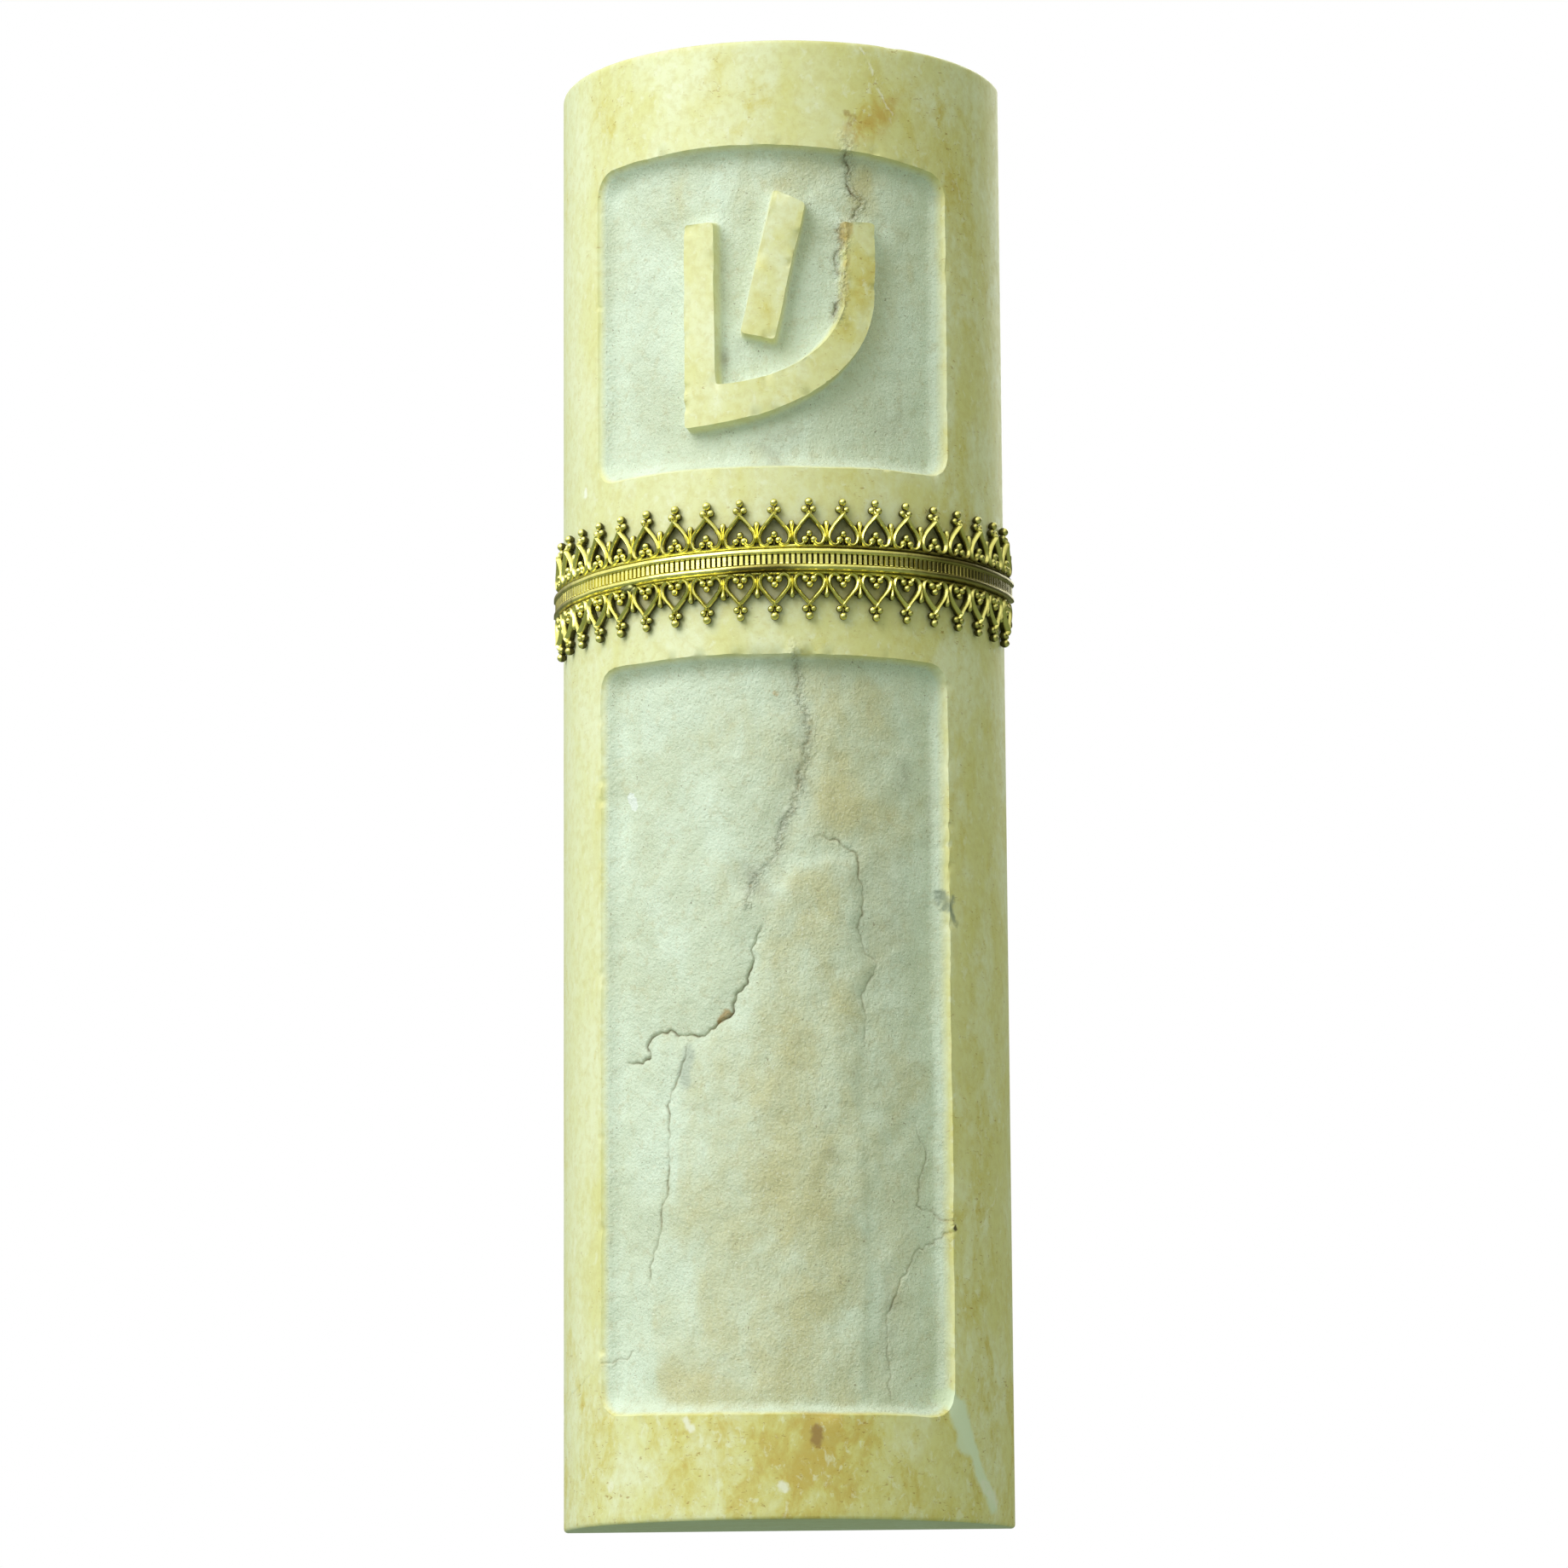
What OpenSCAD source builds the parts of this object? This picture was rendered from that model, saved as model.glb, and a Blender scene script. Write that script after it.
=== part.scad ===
// Half-round stone mezuzah case with a brass gallery band, a screwed back cover
// and a parchment scroll in a clear tube. Millimetres.
// +Z runs up the case, -Y is its round front, and y = 0 is the doorpost that it is stuck to.

/* [Stone] */
// Width across the flat back
case_w = 40; // [38:0.5:42]
// Height of the case
case_h = 131; // [129:0.5:136]
// Depth from the flat back to the crown of the front
case_d = 18; // [17.5:0.5:19.5]

/* [Front panels] */
// Depth of the sunk panels below the honed front
panel_sink = 1.5; // [0.5:0.1:1.8]
// Width of both panels, measured straight across
panel_w = 30.6; // [28:0.2:32]
// Corner radius of the panels
panel_corner_r = 1.2; // [0.8:0.1:2]
// Height of the upper panel's top edge above the middle of the case
upper_panel_top = 55.5; // [54:0.1:58]
// Height of the upper panel's bottom edge
upper_panel_bottom = 27; // [26.5:0.1:28]
// Height of the lower panel's top edge
lower_panel_top = 9.9; // [8:0.1:10.5]
// Height of the lower panel's bottom edge
lower_panel_bottom = -56.4; // [-58:0.1:-54]

/* [Letter] */
// Left side of the letter
letter_left = -7.4; // [-8:0.1:-7]
// Right side of the letter
letter_right = 9.5; // [9:0.1:10]
// Height of the tops of the two outer arms
letter_top = 49; // [47:0.5:50]
// Height of the letter's sharp bottom corner
letter_bottom = 30.5; // [29:0.5:31]
// Width of an arm
arm_w = 2.6; // [2:0.05:2.8]

/* [Brass band] */
// Height of the band's middle above the middle of the case
band_z = 18.1; // [17.8:0.1:18.8]
// How far the rails stand out from the stone
band_proud = 0.9; // [0.6:0.1:1.2]
// Height of the ribbed strip with its two rails
strip_h = 2.3; // [2:0.1:3]
// Angle from one heart loop to the next
motif_pitch = 8.47; // [8.4:0.01:8.8]
// Number of heart loops in a row
motif_count = 19; // [17:2:19]
// Radius of a heart loop's outside
loop_r = 1.6; // [1.6:0.05:1.7]
// Radius of the hole in a heart loop
loop_hole_r = 1.05; // [0.8:0.05:1.2]
// Radius of the bead at the tip of each loop
bead_r = 0.45; // [0.3:0.05:0.5]

/* [Back cover] */
// Width of the rebate for the cover
rebate_w = 18; // [17:0.5:19]
// Height of the rebate
rebate_h = 124; // [123:0.5:125]
// Depth of the rebate
rebate_d = 2; // [1.8:0.1:2.5]
// Thickness of the cover
cover_t = 1.8; // [1.5:0.1:1.8]
// Gap all round between the cover and the rebate
cover_gap = 0.3; // [0.2:0.05:0.5]

/* [Screws and plugs] */
// Distance from one screw to the other
screw_spacing = 115.6; // [115:0.2:116]
// Radius of the screw's thread
screw_r = 1; // [0.9:0.05:1.1]
// Radius of the screw's countersunk head
screw_head_r = 1.9; // [1.8:0.05:2.1]
// Length of the screw with its head
screw_l = 8; // [7:0.5:8]
// Radius of the nylon plug that is glued into the stone
plug_r = 2.2; // [2.1:0.05:2.3]
// Length of the plug
plug_l = 7.2; // [7:0.1:9]

/* [Scroll] */
// Outside radius of the clear tube
tube_r = 5.3; // [5:0.1:5.3]
// Wall of the clear tube
tube_wall = 0.6; // [0.5:0.1:0.8]
// Length of the clear tube
tube_l = 104; // [102:1:104]
// Thickness of a cap's rim
cap_rim_t = 1; // [0.8:0.1:1]
// Length of a cap's collar inside the tube
cap_collar_l = 4; // [3:0.5:6]
// Wall of a cap's collar
cap_collar_wall = 0.5; // [0.4:0.1:0.6]
// Height of the parchment
parchment_h = 100; // [96:1:100]
// Thickness of the rolled parchment sheet
parchment_t = 0.25; // [0.2:0.05:0.3]
// Number of turns in the roll
parchment_turns = 5; // [3:0.5:5.5]

/* [Adhesive pads] */
// Thickness of the double-sided foam strips
pad_t = 1; // [0.8:0.1:1.5]
// Width of a strip
pad_w = 8; // [6:0.5:9]
// Height of a strip
pad_h = 100; // [80:5:120]
// Distance from the middle of the case to the middle of a strip
pad_x = 14.5; // [14:0.5:15]

/* [Hidden] */

$fn = 96;

// The stone's flat back and the axis of its round front
stone_back_y = -pad_t;
case_r = (case_d * case_d + case_w * case_w / 4) / (2 * case_d);
axis_y = stone_back_y + case_r - case_d;
panel_floor_r = case_r - panel_sink;

// The slot in the back that holds the scroll
tube_gap = 0.3;
slot_w = 2 * tube_r + 0.8;
slot_h = tube_l + 2 * cap_rim_t + 2;
slot_corner_r = 1.5;
ledge_y = stone_back_y - rebate_d;
tube_y = ledge_y - tube_gap - tube_r;
slot_bottom_y = tube_y - tube_r - tube_gap;
rebate_corner_r = 2;

// The screws, whose heads are flush with the cover
cover_face_y = ledge_y + cover_t;
screw_head_h = 1.2;
thread_pitch = 0.8;
thread_depth = 0.2;
thread_turns = 6;
cross_w = 0.45;
cross_d = 0.6;
head_gap = 0.1;
shank_gap = 0.2;
pilot_gap = 0.06;

// The roll of parchment
tube_bore_r = tube_r - tube_wall;
collar_bore_r = tube_bore_r - cap_collar_wall;
roll_outer_r = collar_bore_r - 0.1;
roll_step = 0.33;
roll_points_per_turn = 36;

// The gallery band's pierced edges are thinner than its rails, and two beads top each loop
lace_proud = 0.5;
loop_z = strip_h / 2 + loop_r - 0.2;
inner_bead_z = loop_z + loop_r + bead_r - 0.25;
tip_bead_z = inner_bead_z + 1.35 * bead_r;
channel_sink = 0.35;
rail_h = 0.6;

// The letter's curved base is a quarter of a rounded oval
arc_steps = 12;
arc_fullness = 2.1;
stem_join_z = 43;
inner_corner = [letter_left + arm_w + 0.2, 34.2];
middle_stroke = [[0.8, 51.8], [3.5, 50.5], [0.7, 38], [-2.3, 38.8]];

// ---- Shared shapes ----

module rounded_rectangle(w, h, r) {
    square([w - 2 * r, h], center = true);
    square([w, h - 2 * r], center = true);
    for (x = [-1, 1], y = [-1, 1])
        translate([x * (w / 2 - r), y * (h / 2 - r)]) circle(r = r);
}

// Pushes a flat outline, drawn in x and z, from y_back towards the front
module push_to_front(y_back, depth) {
    translate([0, y_back, 0]) rotate([90, 0, 0]) linear_extrude(height = depth) children();
}

module round_bar(radius, z_low, z_high) {
    translate([0, axis_y, z_low]) cylinder(r = radius, h = z_high - z_low, $fn = 180);
}

// Everything in front of the stone's flat back
module front_half() {
    translate([-case_w, stone_back_y - 2 * case_w, -case_h])
        cube([2 * case_w, 2 * case_w, 2 * case_h]);
}

// ---- Stone ----

// Quarter of a rounded oval from straight below its centre to straight right of it
function oval_quarter(centre, half_w, half_h) = [
    for (i = [0:arc_steps])
        let (a = 90 * i / arc_steps)
        [centre[0] + half_w * pow(sin(a), 2 / arc_fullness),
         centre[1] - half_h * pow(cos(a), 2 / arc_fullness)]
];

function backwards(points) = [for (i = [len(points) - 1:-1:0]) points[i]];

module letter_outline() {
    outer_base = oval_quarter([letter_left, stem_join_z],
        letter_right - letter_left, stem_join_z - letter_bottom);
    inner_base = oval_quarter([inner_corner[0], stem_join_z],
        letter_right - arm_w - inner_corner[0], stem_join_z - inner_corner[1]);
    polygon(concat(
        [[letter_left, letter_top]], outer_base, [[letter_right, letter_top]],
        [[letter_right - arm_w, letter_top]], backwards(inner_base),
        [[letter_left + arm_w, letter_top]]
    ));
    polygon(middle_stroke);
}

module panel_outline(z_low, z_high) {
    translate([0, (z_low + z_high) / 2])
        rounded_rectangle(panel_w, z_high - z_low, panel_corner_r);
}

// Sinks an outline into the round front by the same depth all over
module sunk_into_front() {
    difference() {
        push_to_front(stone_back_y, 2 * case_d) children();
        round_bar(panel_floor_r, -case_h, case_h);
    }
}

module stone_case() {
    color("#ddd29c") difference() {
        intersection() {
            round_bar(case_r, -case_h / 2, case_h / 2);
            front_half();
        }
        sunk_into_front() difference() {
            panel_outline(upper_panel_bottom, upper_panel_top);
            letter_outline();
        }
        sunk_into_front() panel_outline(lower_panel_bottom, lower_panel_top);
        push_to_front(stone_back_y + 1, stone_back_y + 1 - slot_bottom_y)
            rounded_rectangle(slot_w, slot_h, slot_corner_r);
        push_to_front(stone_back_y + 1, rebate_d + 1)
            rounded_rectangle(rebate_w, rebate_h, rebate_corner_r);
        for (side = [-1, 1])
            translate([0, stone_back_y + 1, side * screw_spacing / 2])
                rotate([90, 0, 0]) cylinder(r = plug_r, h = rebate_d + 1 + plug_l);
    }
}

// ---- Brass band ----

module radial_disc(angle, z, r) {
    translate([0, axis_y, band_z + z]) rotate([0, 0, angle]) rotate([90, 0, 0])
        translate([0, 0, case_r - 2]) cylinder(r = r, h = 4, $fn = 24);
}

module ring(r_in, r_out, z_low, z_high) {
    difference() {
        round_bar(r_out, band_z + z_low, band_z + z_high);
        round_bar(r_in, band_z + z_low - 1, band_z + z_high + 1);
    }
}

module strip_and_rails() {
    ring(case_r, case_r + band_proud - channel_sink, -strip_h / 2, strip_h / 2);
    ring(case_r, case_r + band_proud, strip_h / 2 - rail_h, strip_h / 2);
    ring(case_r, case_r + band_proud, -strip_h / 2, rail_h - strip_h / 2);
}

module lace_edge(side) {
    middle = (motif_count - 1) / 2;
    angles = [for (i = [-middle:middle]) motif_pitch * i];
    intersection() {
        ring(case_r, case_r + lace_proud, -2 * loop_z, 2 * loop_z);
        difference() {
            for (angle = angles) {
                radial_disc(angle, side * loop_z, loop_r);
                radial_disc(angle, side * inner_bead_z, bead_r);
                radial_disc(angle, side * tip_bead_z, bead_r);
            }
            for (angle = angles)
                radial_disc(angle, side * loop_z, loop_hole_r);
        }
    }
}

module brass_band() {
    color("#b8923e") intersection() {
        union() {
            strip_and_rails();
            lace_edge(1);
            lace_edge(-1);
        }
        front_half();
    }
}

// ---- Back cover and its screws ----

module back_cover() {
    color("#cfc8b4") difference() {
        push_to_front(cover_face_y, cover_t)
            rounded_rectangle(rebate_w - 2 * cover_gap, rebate_h - 2 * cover_gap,
                rebate_corner_r - cover_gap);
        for (side = [-1, 1])
            translate([0, cover_face_y, side * screw_spacing / 2]) rotate([90, 0, 0]) {
                translate([0, 0, -1]) cylinder(r = screw_r + shank_gap, h = cover_t + 2);
                cylinder(r1 = screw_head_r + head_gap, r2 = screw_r + head_gap,
                    h = screw_head_h);
                translate([0, 0, -1]) cylinder(r = screw_head_r + head_gap, h = 1);
            }
    }
}

// A countersunk screw that points towards the front, with its head flush with the cover
module screw_at(z) {
    core_r = screw_r - thread_depth;
    thread_start = screw_head_h + 0.6;
    tip_start = thread_start + thread_turns * thread_pitch;
    thread = [
        for (i = [0:thread_turns - 1])
            each [[core_r, thread_start + i * thread_pitch],
                  [screw_r, thread_start + (i + 0.5) * thread_pitch]]
    ];
    translate([0, cover_face_y, z]) rotate([90, 0, 0]) difference() {
        rotate_extrude() polygon(concat(
            [[0, 0], [screw_head_r, 0], [screw_r, screw_head_h]], thread,
            [[core_r, tip_start], [0.1, screw_l], [0, screw_l]]
        ));
        for (turn = [0, 90]) rotate([0, 0, turn])
            cube([1.4 * screw_head_r, cross_w, 2 * cross_d], center = true);
    }
}

module upper_screw() {
    color("#c2a25a") screw_at(screw_spacing / 2);
}

module lower_screw() {
    color("#c2a25a") screw_at(-screw_spacing / 2);
}

module screw_plug_at(z) {
    translate([0, ledge_y, z]) rotate([90, 0, 0]) difference() {
        cylinder(r = plug_r, h = plug_l);
        translate([0, 0, -1]) cylinder(r = screw_r + pilot_gap, h = plug_l + 0.5);
    }
}

module upper_screw_plug() {
    color("#ece8dc") screw_plug_at(screw_spacing / 2);
}

module lower_screw_plug() {
    color("#ece8dc") screw_plug_at(-screw_spacing / 2);
}

// ---- Scroll in its tube ----

module scroll_tube() {
    color("#dfeef2", 0.5) translate([0, tube_y, -tube_l / 2]) difference() {
        cylinder(r = tube_r, h = tube_l);
        translate([0, 0, -1]) cylinder(r = tube_bore_r, h = tube_l + 2);
    }
}

// A cap for the tube's upper end, seen from the tube's middle along +Z
module tube_cap() {
    translate([0, 0, tube_l / 2]) cylinder(r = tube_r, h = cap_rim_t);
    translate([0, 0, tube_l / 2 - cap_collar_l]) difference() {
        cylinder(r = tube_bore_r, h = cap_collar_l);
        translate([0, 0, -1]) cylinder(r = collar_bore_r, h = cap_collar_l + 1);
    }
}

module upper_tube_cap() {
    color("#f2f1ec") translate([0, tube_y, 0]) tube_cap();
}

module lower_tube_cap() {
    color("#f2f1ec") translate([0, tube_y, 0]) rotate([180, 0, 0]) tube_cap();
}

// A point on the roll's spiral, a given number of turns in from its outer edge
function roll_point(turn, inset) =
    let (r = roll_outer_r - roll_step * turn - inset)
    [r * cos(360 * turn), r * sin(360 * turn)];

module parchment_scroll() {
    steps = parchment_turns * roll_points_per_turn;
    outside = [for (i = [0:steps]) roll_point(i / roll_points_per_turn, 0)];
    inside = [for (i = [0:steps]) roll_point(i / roll_points_per_turn, parchment_t)];
    color("#e8dcc0") translate([0, tube_y, -parchment_h / 2])
        linear_extrude(height = parchment_h) polygon(concat(outside, backwards(inside)));
}

// ---- Adhesive pads ----

module pad_at(x) {
    translate([x - pad_w / 2, -pad_t, -pad_h / 2]) cube([pad_w, pad_t, pad_h]);
}

module left_pad() {
    color("#f4f4f0") pad_at(-pad_x);
}

module right_pad() {
    color("#f4f4f0") pad_at(pad_x);
}

stone_case();
brass_band();
back_cover();
upper_screw();
lower_screw();
upper_screw_plug();
lower_screw_plug();
scroll_tube();
upper_tube_cap();
lower_tube_cap();
parchment_scroll();
left_pad();
right_pad();
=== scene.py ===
"""Half-round stone mezuzah case with a brass gallery band, built round its CAD frame.

Mesh functions work in millimetres and make_mesh turns them into metres. On the stone, s runs
round the case from the crown of its front, towards +X, and v runs up it. On the band, u runs
along the strip, w across it and h out from the stone.
"""

import math

import bmesh
import bpy
import numpy as np
from mathutils import Matrix, Vector
from mathutils.geometry import delaunay_2d_cdt


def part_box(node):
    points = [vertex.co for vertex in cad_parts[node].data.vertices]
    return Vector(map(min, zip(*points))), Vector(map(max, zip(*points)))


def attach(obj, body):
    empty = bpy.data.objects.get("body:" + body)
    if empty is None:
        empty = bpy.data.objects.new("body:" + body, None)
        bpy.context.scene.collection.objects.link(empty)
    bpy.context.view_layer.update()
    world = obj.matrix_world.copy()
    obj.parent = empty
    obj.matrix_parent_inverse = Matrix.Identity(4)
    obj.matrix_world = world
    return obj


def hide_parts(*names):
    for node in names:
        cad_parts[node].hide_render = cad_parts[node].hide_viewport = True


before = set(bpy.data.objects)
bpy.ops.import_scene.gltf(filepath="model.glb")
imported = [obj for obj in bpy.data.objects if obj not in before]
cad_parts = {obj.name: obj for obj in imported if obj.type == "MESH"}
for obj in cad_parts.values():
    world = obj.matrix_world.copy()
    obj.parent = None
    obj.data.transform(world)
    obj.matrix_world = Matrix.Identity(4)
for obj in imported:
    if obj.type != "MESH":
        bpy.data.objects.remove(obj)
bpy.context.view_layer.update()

MM = 0.001


def box_mm(node):
    low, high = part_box(node)
    return np.array(low) / MM, np.array(high) / MM


# ---- Sizes taken from the frame, in millimetres ----

stone_low, stone_high = box_mm("stone_case")
HALF_W = stone_high[0]
HALF_H = stone_high[2]
BACK_Y = stone_high[1]
DEPTH = BACK_Y - stone_low[1]
RADIUS = (DEPTH ** 2 + HALF_W ** 2) / (2 * DEPTH)
AXIS_Y = BACK_Y + RADIUS - DEPTH
EDGE_ANGLE = math.acos((RADIUS - DEPTH) / RADIUS)
band_low, band_high = box_mm("brass_band")
BAND_Z = (band_low[2] + band_high[2]) / 2


# ---- Repeatable smooth noise ----

def lattice(cells, seed):
    """A repeatable number from -1 to 1 for each whole-number point."""
    h = cells[:, 0] * 73856093 ^ cells[:, 1] * 19349663 ^ cells[:, 2] * 83492791
    h = h ^ (seed + 7) * 2654435
    h = (h ^ (h >> 13)) * 1274126177 & 0xFFFFFFFF
    h = (h ^ (h >> 16)) & 0xFFFF
    return h / 32767.5 - 1


def noise(points, size, seed):
    """Smooth noise from about -1 to 1, with features of that size."""
    q = points / size
    cell = np.floor(q).astype(np.int64)
    t = q - cell
    t = t * t * t * (t * (t * 6 - 15) + 10)
    total = np.zeros(len(points))
    for corner in range(8):
        step = np.array([corner & 1, corner >> 1 & 1, corner >> 2])
        total += np.prod(np.where(step, t, 1 - t), axis=1) * lattice(cell + step, seed)
    return total


def fractal(points, size, seed, octaves):
    """Layers of noise, each half the size and half the strength of the one before."""
    total, weight, amount = 0, 1, 0
    for octave in range(octaves):
        total = total + weight * noise(points, size / 2 ** octave, seed + octave)
        amount += weight
        weight *= 0.5
    return total / amount


def flat_points(s, v):
    return np.stack([s, v, np.zeros_like(s)], 1)


def smooth_step(low, high, x):
    t = np.clip((x - low) / (high - low), 0, 1)
    return t * t * (3 - 2 * t)


# ---- Outlines in the plane ----

def resampled(points, step, closed=True):
    """Points every step or so along a polyline."""
    ends = np.vstack([points, points[:1]]) if closed else points
    along = np.concatenate([[0], np.cumsum(np.linalg.norm(np.diff(ends, axis=0), axis=1))])
    count = max(int(round(along[-1] / step)), 3)
    at = np.linspace(0, along[-1], count, endpoint=not closed)
    return np.stack([np.interp(at, along, ends[:, k]) for k in (0, 1)], 1)


def normals(points, closed=True):
    """Unit normals to the right of the direction of travel."""
    if closed:
        t = np.roll(points, -1, 0) - np.roll(points, 1, 0)
    else:
        t = np.gradient(points, axis=0)
    t = t / np.maximum(np.linalg.norm(t, axis=1, keepdims=True), 1e-9)
    return np.stack([t[:, 1], -t[:, 0]], 1)


def distance_to(points, line, closed=True):
    """Distance from each point to a polyline, and how far along it that is, from 0 to 1."""
    start = line if closed else line[:-1]
    end = np.roll(line, -1, 0) if closed else line[1:]
    run = end - start
    length = np.maximum((run ** 2).sum(1), 1e-12)
    best = np.full(len(points), 1e9)
    place = np.zeros(len(points))
    for k in range(len(start)):
        rel = points - start[k]
        t = np.clip(rel @ run[k] / length[k], 0, 1)
        d = ((rel - t[:, None] * run[k]) ** 2).sum(1)
        nearer = d < best
        best[nearer] = d[nearer]
        place[nearer] = (k + t[nearer]) / len(start)
    return np.sqrt(best), place


def inside(points, outline):
    x, y = points.T
    hit = np.zeros(len(points), bool)
    for (x0, y0), (x1, y1) in zip(outline, np.roll(outline, -1, 0)):
        if y0 != y1:
            hit ^= ((y0 > y) != (y1 > y)) & (x < x0 + (y - y0) / (y1 - y0) * (x1 - x0))
    return hit


def signed_distance(points, outline, reach=4.0):
    """Distance to a closed outline, positive inside it and -reach from reach outwards."""
    low, high = outline.min(0) - reach, outline.max(0) + reach
    near = ((points > low) & (points < high)).all(1)
    out = np.full(len(points), -reach)
    d, _ = distance_to(points[near], outline)
    out[near] = np.where(inside(points[near], outline), d, -d)
    return out


def softened(corners, sizes, steps=4):
    """A closed outline whose corners become short curves that start this far from them."""
    out = []
    count = len(corners)
    for k, size in enumerate(np.broadcast_to(sizes, count)):
        here = np.array(corners[k], float)
        if size == 0:
            out.append(here)
            continue
        ends = []
        for other in (corners[k - 1], corners[(k + 1) % count]):
            way = np.array(other, float) - here
            length = np.linalg.norm(way)
            ends.append(here + way / length * min(size, 0.45 * length))
        for t in np.linspace(0, 1, steps + 1):
            out.append((1 - t) ** 2 * ends[0] + 2 * t * (1 - t) * here + t * t * ends[1])
    return np.array(out)


def rounded_rectangle(left, right, low, high, r):
    out = []
    for cx, cy, start in ((right - r, low + r, -90), (right - r, high - r, 0),
                          (left + r, high - r, 90), (left + r, low + r, 180)):
        for a in np.radians(start + np.linspace(0, 90, 7)):
            out.append((cx + r * math.cos(a), cy + r * math.sin(a)))
    return np.array(out)


# ---- Making Blender meshes ----

def ring_faces(rows, around, closed=False):
    """Quads between neighbouring rings of points, with flat ends unless the rings close up."""
    faces = [(k * around + i, k * around + (i + 1) % around,
              (k + 1) % rows * around + (i + 1) % around, (k + 1) % rows * around + i)
             for k in range(rows if closed else rows - 1) for i in range(around)]
    if not closed:
        faces += [tuple(range(around))[::-1], tuple(range((rows - 1) * around, rows * around))]
    return faces


def make_mesh(name, points_mm, faces, material, smooth_angle=40):
    mesh = bpy.data.meshes.new(name)
    mesh.from_pydata((np.asarray(points_mm) * MM).tolist(), [], [tuple(f) for f in faces])
    mesh.validate()
    work = bmesh.new()
    work.from_mesh(mesh)
    bmesh.ops.recalc_face_normals(work, faces=work.faces)
    work.to_mesh(mesh)
    work.free()
    mesh.materials.append(material)
    obj = bpy.data.objects.new(name, mesh)
    bpy.context.scene.collection.objects.link(obj)
    mesh.shade_smooth()
    if smooth_angle < 180:
        mesh.set_sharp_from_angle(angle=math.radians(smooth_angle))
    return obj


def add_values(obj, name, values):
    """Stores one number for each vertex, for the material to read."""
    attribute = obj.data.attributes.new(name, "FLOAT", "POINT")
    attribute.data.foreach_set("value", np.asarray(values, np.float32))


def add_places(obj, name, places):
    """Stores a place, in millimetres, for each vertex."""
    attribute = obj.data.attributes.new(name, "FLOAT_VECTOR", "POINT")
    attribute.data.foreach_set("vector", np.asarray(places, np.float32).ravel())


def applied(obj):
    """Turns an object's modifiers into its mesh."""
    graph = bpy.context.evaluated_depsgraph_get()
    mesh = bpy.data.meshes.new_from_object(obj.evaluated_get(graph))
    obj.modifiers.clear()
    old = obj.data
    obj.data = mesh
    bpy.data.meshes.remove(old)
    return obj


# ---- The stone's front: two sunk panels, the letter and the natural seams ----

SINK = 1.5
PANEL_HALF = 17.4
PANEL_CORNER = 2.1
EDGE_BEVEL = 0.5
END_ROUND = 0.35
FRONT_HALF = RADIUS * EDGE_ANGLE - EDGE_BEVEL
BEVEL_RUN = 0.8
BACK_HALF = HALF_W - EDGE_BEVEL
LOOP_HALF = FRONT_HALF + BEVEL_RUN + BACK_HALF
V_HALF = HALF_H - END_ROUND + END_ROUND * math.pi / 2


def panel_outline(left, right, top, bottom, seed):
    """A round-cornered panel whose upper and lower edges follow the curves top(u) and bottom(u)."""
    low, high = bottom(0), top(0)
    shape = rounded_rectangle(left, right, low, high, PANEL_CORNER)
    shape = resampled(shape, 0.8)
    u = shape[:, 0] / PANEL_HALF
    up = (shape[:, 1] - low) / (high - low)
    shape[:, 1] += up * (top(u) - high) + (1 - up) * (bottom(u) - low)
    flat = flat_points(*shape.T)
    wobble = 0.07 * noise(flat, 5, seed) + 0.05 * noise(flat, 1.6, seed)
    return shape + normals(shape) * wobble[:, None]


UPPER_PANEL = panel_outline(-18.1, 17.75, lambda u: 55.8 - 0.5 * u - u * u,
                            lambda u: 26.5 - 0.03 * u + 0.33 * u * u, 3)
LOWER_PANEL = panel_outline(-17.75, 17.4, lambda u: 9.9 - 0.1 * u,
                            lambda u: -56.6 - 0.2 * u + 0.4 * u * u, 5)


def oval_quarter(centre, half_w, half_h):
    """Quarter of a rounded oval, from straight below its centre to straight right of it."""
    fullness = 2.1
    a = np.linspace(0, math.pi / 2, 15)
    return np.stack([centre[0] + half_w * np.sin(a) ** (2 / fullness),
                     centre[1] - half_h * np.cos(a).clip(0) ** (2 / fullness)], 1)


def letter_outlines():
    """The block letter: two arms and a curved base in one piece, and a slanted stroke."""
    left, right, top, bottom, arm, join = -7.6, 9.9, 49.0, 30.5, 2.75, 43.0
    outer = oval_quarter((left, join), right - left, join - bottom)
    inner = oval_quarter((left + arm + 0.2, join), right - left - 2 * arm - 0.2, join - 34.2)
    frame_part = np.vstack([[(left, top)], outer, [(right, top)], [(right - arm, top)],
                            inner[::-1], [(left + arm, top)]])
    stroke = np.array([(-2.35, 38.8), (0.7, 38.05), (3.5, 50.5), (0.75, 51.8)])
    out = []
    for k, corners in enumerate((frame_part, stroke)):
        shape = resampled(softened(corners, 0.22), 0.35)
        flat = flat_points(*shape.T)
        wobble = 0.05 * noise(flat, 2.4, 11 + k)
        inner_edge = np.exp(-((shape[:, 0] - right + arm) / 0.5) ** 2)
        broken = inner_edge * smooth_step(40, 42, shape[:, 1])
        wobble += 0.22 * broken * noise(flat, 0.7, 15)
        out.append(shape + normals(shape) * wobble[:, None])
    return out


LETTER = letter_outlines()

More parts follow.
